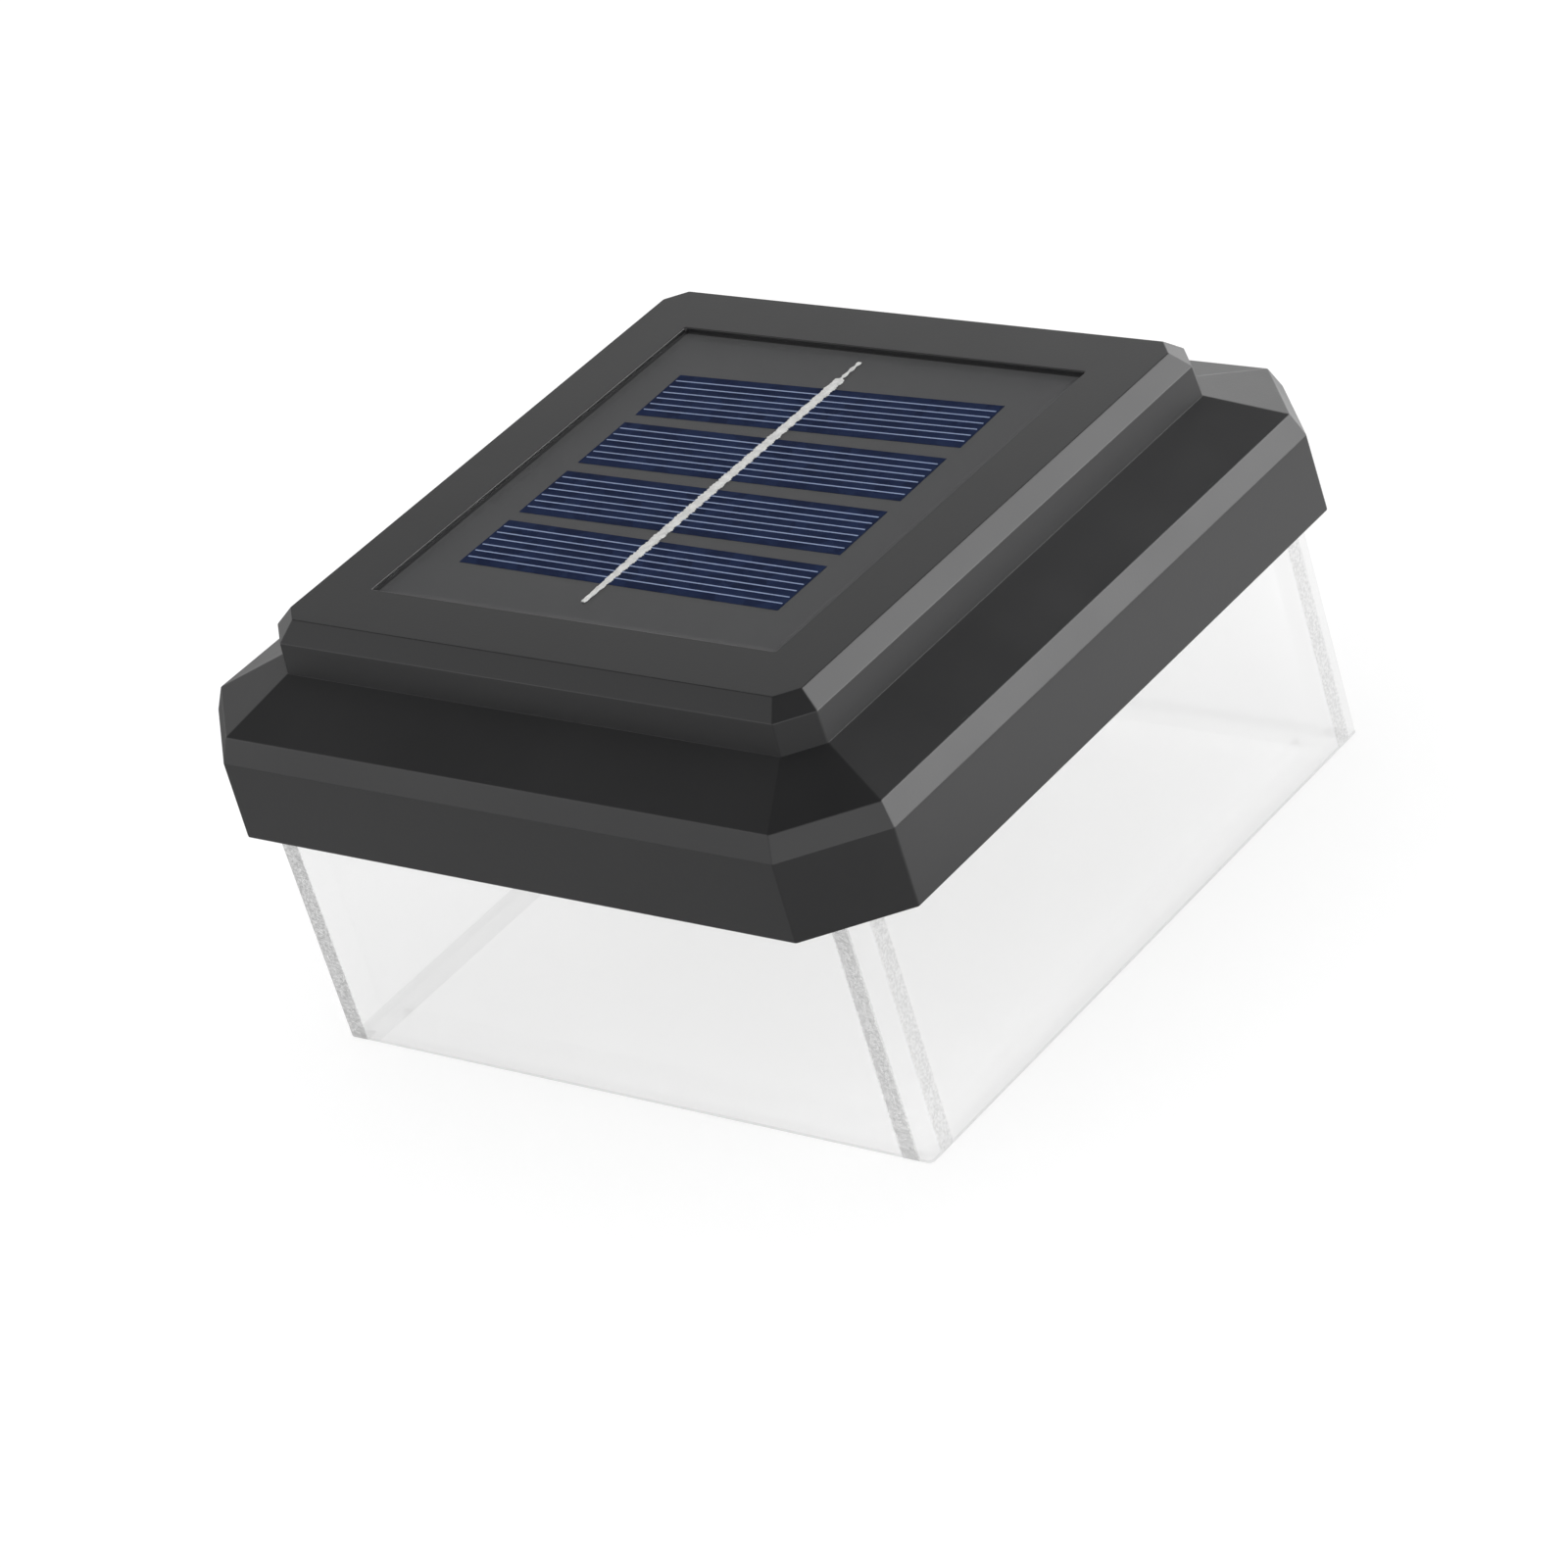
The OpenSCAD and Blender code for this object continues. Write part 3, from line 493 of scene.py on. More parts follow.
def soft_copy(node: str, name: str, width: float, segments: int = 2) -> Piece:
    """Copy a CAD node's mesh, merge it and round its sharp edges.

    Args:
        node: The CAD node.
        name: Name of the new piece.
        width: Width of the rounding in metres.
        segments: Steps across the rounding.

    Returns:
        The new piece, not yet riding on a body.
    """
    work = bmesh.new()
    work.from_mesh(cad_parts[node].data)
    bmesh.ops.remove_doubles(work, verts=work.verts, dist=CAD_MERGE)
    flat = math.radians(FLAT_ANGLE)
    bmesh.ops.dissolve_limit(work, angle_limit=flat, verts=work.verts, edges=work.edges)
    least = math.radians(BEVEL_ANGLE)
    sharp = [e for e in work.edges if len(e.link_faces) == 2 and e.calc_face_angle(0.0) > least]
    if width > 0 and sharp:
        bmesh.ops.bevel(
            work, geom=sharp, offset=width, segments=segments, profile=0.5,
            affect="EDGES", clamp_overlap=True,
        )
    mesh = bpy.data.meshes.new(name)
    work.to_mesh(mesh)
    work.free()
    piece = new_piece(name, mesh)
    shade(piece)
    return piece


def dress(piece: Piece, look: Finish) -> None:
    """Give a piece one finish."""
    piece.data.materials.clear()
    piece.data.materials.append(look)


def cut_square(half: float, reach: float, radius: float, z: float) -> Loop:
    """Loop of a square with cut corners, its eight corners rounded.

    Args:
        half: Distance of the side faces from the axis.
        reach: Distance of the corner faces from the axis.
        radius: Rounding of the eight corners.
        z: Height of the loop.

    Returns:
        The loop's points, anticlockwise from above.
    """
    points = []
    turn = math.pi / 4
    last = 4
    back = radius * math.tan(turn / 2)
    for side in range(8):
        here, ahead = (half, reach) if side % 2 == 0 else (reach, half)
        angle = side * turn
        along = (ahead - here * math.cos(turn)) / math.sin(turn)
        out = Vector((math.cos(angle), math.sin(angle)))
        centre = out * (here - radius) + Vector((-out.y, out.x)) * (along - back)
        for step in range(last + 1):
            a = angle + turn * step / last
            points.append(Vector((centre.x + radius * math.cos(a), centre.y + radius * math.sin(a), z)))
    return points


def skin(name: str, loops: Sequence[Loop], filled: bool = True) -> Piece:
    """Skin a row of loops that all have the same count of points.

    Args:
        name: Name of the piece.
        loops: The loops in order.
        filled: Whether the first and the last loop are filled.

    Returns:
        The piece, its faces turned outwards.
    """
    count = len(loops[0])
    faces = []
    for i in range(len(loops) - 1):
        for k in range(count):
            n = (k + 1) % count
            faces.append((i * count + k, i * count + n, (i + 1) * count + n, (i + 1) * count + k))
    if filled:
        faces.append(tuple(reversed(range(count))))
        faces.append(tuple(range((len(loops) - 1) * count, len(loops) * count)))
    mesh = bpy.data.meshes.new(name)
    mesh.from_pydata([tuple(p) for loop in loops for p in loop], [], faces)
    work = bmesh.new()
    work.from_mesh(mesh)
    bmesh.ops.remove_doubles(work, verts=work.verts, dist=OWN_MERGE)
    bmesh.ops.recalc_face_normals(work, faces=work.faces)
    work.to_mesh(mesh)
    work.free()
    return new_piece(name, mesh)


def rounded_corner(before: Point, corner: Point, after: Point, radius: float) -> list:
    """Replace a corner of a profile with an arc.

    Args:
        before: The profile's point before the corner.
        corner: The corner.
        after: The profile's point after the corner.
        radius: Radius of the arc.

    Returns:
        The arc's points, in the profile's own values.
    """
    c = Vector(corner)
    u, v = Vector(before) - c, Vector(after) - c
    reach = min(radius / math.tan(u.angle(v) / 2), u.length / 2.1, v.length / 2.1)
    start, end = c + u.normalized() * reach, c + v.normalized() * reach
    last = 3
    shares = [i / last for i in range(last + 1)]
    return [start * (1 - t) ** 2 + c * 2 * t * (1 - t) + end * t ** 2 for t in shares]


def bake_nodes(
    name: str, tree: bpy.types.NodeTree, values: dict[str, object], places: Sequence[Point] = ()
) -> Piece:
    """Run a node tree once and keep its result as a plain mesh.

    Args:
        name: Name of the new piece.
        tree: The Geometry Nodes tree.
        values: Values of its named inputs.
        places: Points in millimetres that the tree starts from.

    Returns:
        The new piece, with no modifier.
    """
    start = bpy.data.meshes.new(name + "_seed")
    start.from_pydata([tuple(c * MM for c in place) for place in places], [], [])
    seed = new_piece(name + "_seed", start)
    modifier = seed.modifiers.new("build", "NODES")
    modifier.node_group = tree
    for item in tree.interface.items_tree:
        if item.item_type == "SOCKET" and item.in_out == "INPUT" and item.name in values:
            modifier[item.identifier] = values[item.name]
    graph = bpy.context.evaluated_depsgraph_get()
    mesh = bpy.data.meshes.new_from_object(seed.evaluated_get(graph))
    mesh.name = name
    seed.modifiers.remove(modifier)
    bpy.data.objects.remove(seed)
    return new_piece(name, mesh)


class Grower(Filler):
    """A Geometry Nodes tree under construction, with named inputs."""

    def __init__(self, name: str, inputs: dict[str, tuple[str, object]]) -> None:
        """Start the tree.

        Args:
            name: Name of the tree.
            inputs: Each input's socket type and default value, by name.
        """
        super().__init__(bpy.data.node_groups.new(name, "GeometryNodeTree"))
        for key, (kind, value) in inputs.items():
            socket = self.tree.interface.new_socket(key, in_out="INPUT", socket_type=kind)
            if value is not None:
                socket.default_value = value
        self.tree.interface.new_socket("Geometry", in_out="OUTPUT", socket_type="NodeSocketGeometry")
        self.given = self.add("NodeGroupInput").outputs
        self.result = self.add("NodeGroupOutput").inputs["Geometry"]

    def set_out(self, thing: Socket, **more: Socket) -> Socket:
        """Set a copy of a thing at each given place.

        Args:
            thing: The thing's geometry.
            more: Further inputs of the node, by name.

        Returns:
            The copies.
        """
        values = {"Points": self.given["Places"], "Instance": thing, **more}
        return self.add("GeometryNodeInstanceOnPoints", values).outputs["Instances"]

    def end(self, source: Socket, look: Finish) -> bpy.types.NodeTree:
        """Close the tree with real geometry that carries a finish.

        Args:
            source: The geometry so far.
            look: The finish of all of it.

        Returns:
            The finished tree.
        """
        real = self.add("GeometryNodeRealizeInstances", {0: source})
        values = {"Geometry": real.outputs[0], "Material": look}
        dressed = self.add("GeometryNodeSetMaterial", values)
        self.join(dressed.outputs[0], self.result)
        return self.tree


def row_of_bars(name: str, look: Finish) -> bpy.types.NodeTree:
    """Tree that lays a row of equal bars side by side.

    Args:
        name: Name of the tree.
        look: The bars' finish.

    Returns:
        The tree.
    """
    vector = "NodeSocketVector"
    grower = Grower(name, {
        "Bar Size": (vector, (0.01, 0.001, 0.001)),
        "First Place": (vector, (0.0, 0.0, 0.0)),
        "Step": (vector, (0.0, 0.001, 0.0)),
        "Count": ("NodeSocketInt", 3),
    })
    given = grower.given
    line = grower.add("GeometryNodeMeshLine", {
        "Count": given["Count"], "Start Location": given["First Place"], "Offset": given["Step"],
    })
    bar = grower.add("GeometryNodeMeshCube", {"Size": given["Bar Size"]})
    row = grower.add("GeometryNodeInstanceOnPoints", {
        "Points": line.outputs["Mesh"], "Instance": bar.outputs["Mesh"],
    })
    return grower.end(row.outputs["Instances"], look)


def spiral_wire(
    grower: Grower, turns: Socket, start: Socket, end: Socket, rise: Socket, wire: Socket
) -> Socket:
    """Add a round wire wound in a spiral about the upright axis.

    Args:
        grower: The tree to add to.
        turns: Count of turns.
        start: Radius of the spiral's low end.
        end: Radius of its high end.
        rise: Height between its ends.
        wire: Radius of the wire.

    Returns:
        The wire's mesh.
    """
    path = grower.add("GeometryNodeCurveSpiral", {
        "Resolution": SPIRAL_STEPS, "Rotations": turns, "Height": rise,
        "Start Radius": start, "End Radius": end,
    })
    section = grower.add("GeometryNodeCurvePrimitiveCircle", {"Resolution": WIRE_SIDES, "Radius": wire})
    return grower.add("GeometryNodeCurveToMesh", {
        "Curve": path.outputs["Curve"], "Profile Curve": section.outputs["Curve"], "Fill Caps": True,
    }).outputs["Mesh"]


def wound_wire(name: str, look: Finish) -> bpy.types.NodeTree:
    """Tree that winds a wire in a spiral at each given place.

    Args:
        name: Name of the tree.
        look: The wire's finish.

    Returns:
        The tree.
    """
    sizes = {"Turns": 4.0, "Start Radius": 0.004, "End Radius": 0.003, "Rise": 0.006, "Wire Radius": 0.0004}
    inputs = {key: ("NodeSocketFloat", value) for key, value in sizes.items()}
    grower = Grower(name, {"Places": ("NodeSocketGeometry", None), **inputs})
    wire = spiral_wire(grower, *(grower.given[key] for key in sizes))
    return grower.end(grower.set_out(wire), look)


def solder_dots(name: str, look: Finish) -> bpy.types.NodeTree:
    """Tree that sets a low round dot at each given place.

    Args:
        name: Name of the tree.
        look: The dots' finish.

    Returns:
        The tree.
    """
    grower = Grower(name, {
        "Places": ("NodeSocketGeometry", None),
        "Radius": ("NodeSocketFloat", 0.0006),
        "Flatness": ("NodeSocketVector", (1.0, 1.0, 0.5)),
    })
    dot = grower.add("GeometryNodeMeshUVSphere", {
        "Segments": 16, "Rings": 8, "Radius": grower.given["Radius"],
    })
    return grower.end(grower.set_out(dot.outputs["Mesh"], Scale=grower.given["Flatness"]), look)


def screw_set(name: str, blank: Piece, look: Finish) -> bpy.types.NodeTree:
    """Tree that cuts a crossed slot in a turned blank, winds its thread and sets it at each place.

    Args:
        name: Name of the tree.
        blank: The turned blank, its head's outer face at the origin.
        look: The screws' finish.

    Returns:
        The tree.
    """
    number, vector = "NodeSocketFloat", "NodeSocketVector"
    grower = Grower(name, {
        "Places": ("NodeSocketGeometry", None),
        "Slot Along": (vector, (0.003, 0.0008, 0.002)),
        "Slot Across": (vector, (0.0008, 0.003, 0.002)),
        "Thread Turns": (number, 8.0),
        "Thread Radius": (number, 0.001),
        "Thread Rise": (number, 0.009),
        "Thread Start": (vector, (0.0, 0.0, 0.003)),
        "Ridge Radius": (number, 0.0003),
        "Turn": (vector, (0.0, 0.0, 0.0)),
    })
    given = grower.given
    body = grower.add("GeometryNodeObjectInfo", {"Object": blank}, transform_space="ORIGINAL")
    cut = grower.add(
        "GeometryNodeMeshBoolean", {"Mesh 1": body.outputs["Geometry"]},
        operation="DIFFERENCE", solver="EXACT",
    )
    for size in ("Slot Along", "Slot Across"):
        bar = grower.add("GeometryNodeMeshCube", {"Size": given[size]})
        grower.join(bar.outputs["Mesh"], cut.inputs["Mesh 2"])
    radius = given["Thread Radius"]
    ridge = spiral_wire(
        grower, given["Thread Turns"], radius, radius, given["Thread Rise"], given["Ridge Radius"],
    )
    lifted = grower.add("GeometryNodeTransform", {"Geometry": ridge, "Translation": given["Thread Start"]})
    whole = grower.add("GeometryNodeJoinGeometry")
    for part in (cut.outputs["Mesh"], lifted.outputs["Geometry"]):
        grower.join(part, whole.inputs["Geometry"])
    return grower.end(grower.set_out(whole.outputs["Geometry"], Rotation=given["Turn"]), look)


def turned(
    name: str, profile: Sequence[tuple[float, float]], place: Matrix, ring: bool = False,
    steps: int = 48,
) -> Piece:
    """Turn an outline about the upright axis and put the solid in its place.

    Args:
        name: Name of the piece.
        profile: Radius and height of each corner in millimetres.
        place: Where the solid goes.
        ring: Whether the outline closes on itself round a hole.
        steps: Sides of the solid.

    Returns:
        The piece.
    """
    angles = [2 * math.pi * i / steps for i in range(steps)]
    corners = list(profile) + ([profile[0]] if ring else [])
    loops = [
        [Vector((r * MM * math.cos(a), r * MM * math.sin(a), z * MM)) for a in angles] for r, z in corners
    ]
    piece = skin(name, loops, not ring)
    piece.data.transform(place)
    shade(piece)
    return piece


def merge_pieces(name: str, pieces: Sequence[Piece]) -> Piece:
    """Join several plain pieces in one mesh.

    Args:
        name: Name of the joined piece.
        pieces: The pieces, which are used up.

    Returns:
        The joined piece.
    """
    work = bmesh.new()
    for piece in pieces:
        work.from_mesh(piece.data)
    mesh = bpy.data.meshes.new(name)
    work.to_mesh(mesh)
    work.free()
    for piece in pieces:
        bpy.data.objects.remove(piece)
    return new_piece(name, mesh)


def wave(waves: Waves, at: float) -> float:
    """Sum of sine waves.

    Args:
        waves: Height, turns and start of each wave.
        at: Where the sum is taken.

    Returns:
        The sum.
    """
    return sum(high * math.sin(at * turns + start) for high, turns, start in waves)


# Sub-assemblies


@dataclass
class Assembly:
    """A sub-assembly, with every finish at hand."""

    finishes: Finishes

    def hang(
        self, piece: Piece, slot: str, *nodes: str,
        body: str = ROOT_BODY, angle: float = 0.0, look: str = "",
    ) -> None:
        """Shade and dress a finished piece and hang it on its body.

        Args:
            piece: The piece, in its place.
            slot: The record's material slot.
            nodes: The CAD nodes that it stands for.
            body: The CAD body that carries it.
            angle: Edges sharper than this stay sharp; 0 leaves the shading as it is.
            look: Name of the finish, where it isn't the slot's.
        """
        if angle:
            shade(piece, angle)
        dress(piece, self.finishes[look or slot])
        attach(piece, body)
        if nodes:
            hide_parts(*nodes)
        LOG.info("%s rides on %s", piece.name, body)

    def soften(self, slot: str, edge: float, *nodes: str, body: str = ROOT_BODY) -> None:
        """Hang softened copies of CAD nodes.

        Args:
            slot: The record's material slot.
            edge: Rounding of their edges in millimetres.
            nodes: The CAD nodes.
            body: The CAD body that carries them.
        """
        for node in nodes:
            self.hang(soft_copy(node, node + "_soft", edge * MM), slot, node, body=body)


@dataclass
class CapMoulding(Assembly):
    """The dark cap: skirt, shoulder, upper tier and the recess for the panel."""

    skirt_low: Point = (62.3, 41.0, 0.0)
    skirt_top: Point = (62.0, 53.4, 0.0)
    shoulder_low: Point = (60.5, 57.0, 0.0)
    band_low: Point = (49.75, 61.5, 0.0)
    band_top: Point = (49.35, 66.3, 0.0)
    frame_edge: Point = (46.7, 68.8, 0.0)
    corner_reach: float = 17.352
    edge_radius: float = 0.34
    upright_radius: float = 0.5
    recess_half: float = 37.0
    recess_floor: float = 64.5
    ledge_half: float = 36.61
    ledge_top: float = 68.06
    ledge_rise: float = 0.1
    inner_corner_radius: float = 0.05
    rim_radius: float = 0.17
    wall: float = 2.2
    pan_half: float = 39.0
    pan_under: float = 62.5
    boss_at: float = 44.0
    boss_radius: float = 3.7
    boss_foot: float = 55.8
    rib_pitch: float = 30.0
    rib_thick: float = 1.4
    rib_from: float = 54.6
    rib_foot: float = 51.6
    rib_top: float = 57.2

    def profile(self) -> list[tuple[float, float]]:
        """Outline from the frame's edge down to the skirt's foot, with rounded corners.

        Returns:
            Half widths and heights in millimetres.
        """
        corners = [
            (self.recess_half, self.frame_edge[1], 0.0), self.frame_edge, self.band_top, self.band_low,
            self.shoulder_low, self.skirt_top, self.skirt_low,
            (self.skirt_low[0] - self.wall, self.skirt_low[1], 0.0),
        ]
        points = []
        for i in range(1, len(corners) - 1):
            radius = self.inner_corner_radius if corners[i] == self.band_low else self.edge_radius
            arc = rounded_corner(corners[i - 1], corners[i], corners[i + 1], radius)
            points.extend((p[0], p[1]) for p in arc)
        return points

    def shell(self) -> Piece:
        """Skin the moulding as one closed shell: recess, outside, foot and hollow underside.

        Returns:
            The shell.
        """
        def loop(half: float, z: float) -> Loop:
            """Loop of the stepped outline at one height."""
            return cut_square(half * MM, (half + self.corner_reach) * MM, self.upright_radius * MM, z * MM)

        def square(half: float, z: float, radius: float = 0.2) -> Loop:
            """Loop of a square with nearly sharp corners."""
            reach = half * math.sqrt(2) - radius
            return cut_square(half * MM, reach * MM, radius * MM, z * MM)

        top, rim, wall = self.frame_edge[1], self.rim_radius, self.wall
        slope = (self.band_low[1] - self.shoulder_low[1]) / (self.shoulder_low[0] - self.band_low[0])
        rise = (self.shoulder_low[0] - self.band_low[0]) * slope
        under = self.band_top[1] - wall / 3
        loops = [
            square(self.ledge_half, self.recess_floor),
            square(self.ledge_half, self.ledge_top),
            square(self.recess_half, self.ledge_top + self.ledge_rise),
            square(self.recess_half, top - rim),
            square(self.recess_half + rim * 0.3, top - rim * 0.3),
            square(self.recess_half + rim, top),
            *(loop(half, z) for half, z in self.profile()),
            loop(self.skirt_low[0] - wall, self.skirt_low[1]),
            loop(self.skirt_top[0] - wall, self.skirt_top[1] - wall / 2),
            loop(self.shoulder_low[0] - wall, self.boss_foot),
            loop(self.band_low[0] - wall, self.boss_foot + rise - 0.4),
            loop(self.band_top[0] - wall, under),
            square(self.pan_half + 0.6, under),
            square(self.pan_half, self.pan_under),
        ]
        return skin("cap_moulding", loops)

    def ribs(self) -> Piece:
        """Set a row of ribs inside each side of the skirt.

        Returns:
            All the ribs as one piece.
        """
        tree = row_of_bars("skirt_ribs", self.finishes["cap_plastic"])
        depth = self.skirt_low[0] - self.wall - self.rib_from
        middle = (self.rib_top + self.rib_foot) / 2
        parts = []
        for turn in range(4):
            row = bake_nodes(f"skirt_ribs_{turn}", tree, {
                "Bar Size": (depth * MM, self.rib_thick * MM, (self.rib_top - self.rib_foot) * MM),
                "First Place": ((self.rib_from + depth / 2) * MM, -self.rib_pitch * MM, middle * MM),
                "Step": (0.0, self.rib_pitch * MM, 0.0),
                "Count": 3,
            })
            row.data.transform(Matrix.Rotation(turn * math.pi / 2, 4, "Z"))
            parts.append(row)
        return merge_pieces("skirt_ribs", parts)

    def bosses(self) -> Piece:
        """Make the four posts that take the tray's screws.

        Returns:
            All the posts as one piece.
        """
        angles = [2 * math.pi * i / 32 for i in range(32)]
        ring = [Vector((math.cos(a), math.sin(a), 0.0)) * self.boss_radius for a in angles]
        posts = []
        for sx in (-1, 1):
            for sy in (-1, 1):
                axis = Vector((sx * self.boss_at, sy * self.boss_at, 0.0))
                ends = (Vector((0.0, 0.0, z)) for z in (self.boss_foot, self.band_top[1]))
                posts.append(skin("boss", [[(axis + spot + end) * MM for spot in ring] for end in ends]))
        return merge_pieces("cap_screw_bosses", posts)

    def build(self) -> None:
        """Make and dress the moulding with its ribs and bosses."""
        self.hang(self.shell(), "cap_plastic", "cap_shell", angle=50.0)
        self.hang(self.ribs(), "cap_plastic")
        self.hang(self.bosses(), "cap_plastic", angle=EDGE_ANGLE)


@dataclass
class SolarPanel(Assembly):
    """The panel: backing board, four cell strips with fine lines, ribbon and clear film."""

    half: float = 36.6
    film_low: float = 68.165
    film_top: float = 68.2
    cell_length: float = 58.6
    cell_depth: float = 11.4
    cell_pitch: float = 14.0
    cell_top: float = 67.9
    cell_show: float = 0.05
    board_low: float = 66.0
    border_from: float = 34.9
    border_rise: float = 0.17
    border_steps: int = 10
    film_half: float = 35.9
    turns: tuple[float, ...] = (-0.3, 0.4, 0.9, 1.7)
    line_count: int = 6
    line_width: float = 0.2
    line_height: float = 0.03
    line_inset: float = 0.8
    ribbon_x: float = -1.9
    ribbon_width: float = 1.8
    ribbon_front: float = -31.6
    ribbon_back: float = 29.4
    tail_end: float = 34.2
    tail_width: float = 0.8
    front_taper: float = 14.0
    solder: float = 0.15
    lumps: float = 1.9
    lump_high: float = 0.05
    lump_cross: float = 7.3
    groove_deep: float = 0.07
    groove_turns: float = 1.3
    tail_least: float = 0.35
    slices: int = 420
    both_edges: Waves = ((0.1, 2.3, 0.0), (0.1, 9.1, 1.0), (0.08, 15.7, 0.0))
    right_edge: Waves = ((0.12, 12.3, 2.0), (-0.14, 3.7, 0.0))

    def plate(self, name: str, outline: Sequence[tuple[float, float]]) -> Piece:
        """Make a square plate from the outline of its edge.

        Args:
            name: Name of the plate.
            outline: Half widths and heights from the plate's underside to its top.

        Returns:
            The plate.
        """
        loops = [cut_square(h * MM, (h * math.sqrt(2) - 0.15) * MM, 0.15 * MM, z * MM) for h, z in outline]
        return skin(name, loops)

    def backing(self) -> Piece:
        """Make the backing board, nearly flush with the cells, its sealed border creeping up.

        Returns:
            The board.
        """
        top = self.cell_top - self.cell_show
        run = self.half - self.border_from
        shares = [i / self.border_steps for i in range(self.border_steps + 1)]
        border = [(self.half - run * t, top + self.border_rise * (1 - t) ** 2) for t in shares]
        return self.plate("panel_backing_board", [(self.half, self.board_low), *border])

    def fine_lines(self) -> Piece:
        """Lay the printed lines along each cell strip.

        Returns:
            All the lines as one piece.
        """
        tree = row_of_bars("cell_lines", self.finishes["cell_lines"])
        step = self.cell_depth / (self.line_count + 1)
        parts = []
        for row, turn in enumerate(self.turns):
            y = (row - (len(self.turns) - 1) / 2) * self.cell_pitch
            lines = bake_nodes(f"cell_lines_{row}", tree, {
                "Bar Size": (
                    (self.cell_length - self.line_inset) * MM, self.line_width * MM, self.line_height * MM,
                ),
                "First Place": (0.0, (step - self.cell_depth / 2) * MM, 0.0),
                "Step": (0.0, step * MM, 0.0),
                "Count": self.line_count,
            })
            lines.data.transform(
                Matrix.Translation((0.0, y * MM, (self.cell_top + self.line_height / 2) * MM))
                @ Matrix.Rotation(math.radians(turn), 4, "Z")
            )
            parts.append(lines)
        return merge_pieces("cell_lines", parts)

    def ribbon(self) -> Piece:
        """Make the ribbon with its wavy solder-dipped edges and its thin tail.

        Returns:
            The ribbon.
        """
        length = self.tail_end - self.ribbon_front
        low = self.cell_top + self.line_height
        loops = []
        for i in range(self.slices + 1):
            run = length * i / self.slices
            y = self.ribbon_front + run
            tail = y >= self.ribbon_back
            wide = self.tail_width if tail else self.ribbon_width
            if run < self.front_taper:
                wide = self.tail_width + (wide - self.tail_width) * run / self.front_taper
            if tail:
                wide *= self.tail_least + (1 - self.tail_least) * abs(math.sin(y * self.lumps))
            left = wide / 2 * (wave(self.both_edges, y) - 1)
            right = wide / 2 * (wave(self.right_edge, y) + 1)
            lump = self.lump_high * math.sin(y * self.lumps) * math.sin(y * self.lump_cross)
            crown = low + self.solder + lump
            groove = crown - self.groove_deep * (1 + math.sin(y * self.groove_turns)) / 2
            section = [
                (left, low), (right, low), (right * 0.85, crown - 0.03), (right * 0.45, crown),
                (0.0, groove), (left * 0.45, crown), (left * 0.85, crown - 0.03),
            ]
            loops.append([Vector(((self.ribbon_x + x) * MM, y * MM, z * MM)) for x, z in section])
        return skin("tinned_ribbon", loops)

    def build(self) -> None:
        """Make and dress the panel."""
        self.hang(self.backing(), "panel_backing", "panel_board", angle=EDGE_ANGLE)
        dress(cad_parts["solar_cells"], self.finishes["cell_silicon"])
        self.hang(self.fine_lines(), "cell_silicon", look="cell_lines")
        self.hang(self.ribbon(), "tinned_copper", "cell_ribbon", angle=60.0)
        h, ease = self.film_half, 0.015
        outline = [(h, self.film_low), (h, self.film_top - ease), (h - ease, self.film_top)]
        self.hang(self.plate("front_film", outline), "front_film", "panel_film", angle=30.0)


@dataclass
class Lens(Assembly):
    """The clear lens, softened along its edges."""

    edge: float = 0.35

    def build(self) -> None:
        """Make and dress the lens."""
        self.hang(soft_copy("lens", "clear_lens", self.edge * MM, 3), "clear_lens", "lens")


@dataclass
class TrayParts(Assembly):
    """The white tray and its door, with the rubber rings."""

    tray_edge: float = 0.25
    seal_edge: float = 0.1

    def build(self) -> None:
        """Make and dress the tray's parts."""
        self.soften("white_plastic", self.tray_edge, "tray")
        self.soften("white_plastic", self.tray_edge, "battery_door", body=DOOR_BODY)
        self.soften("black_rubber", self.seal_edge, "lens_gasket", "door_seal")


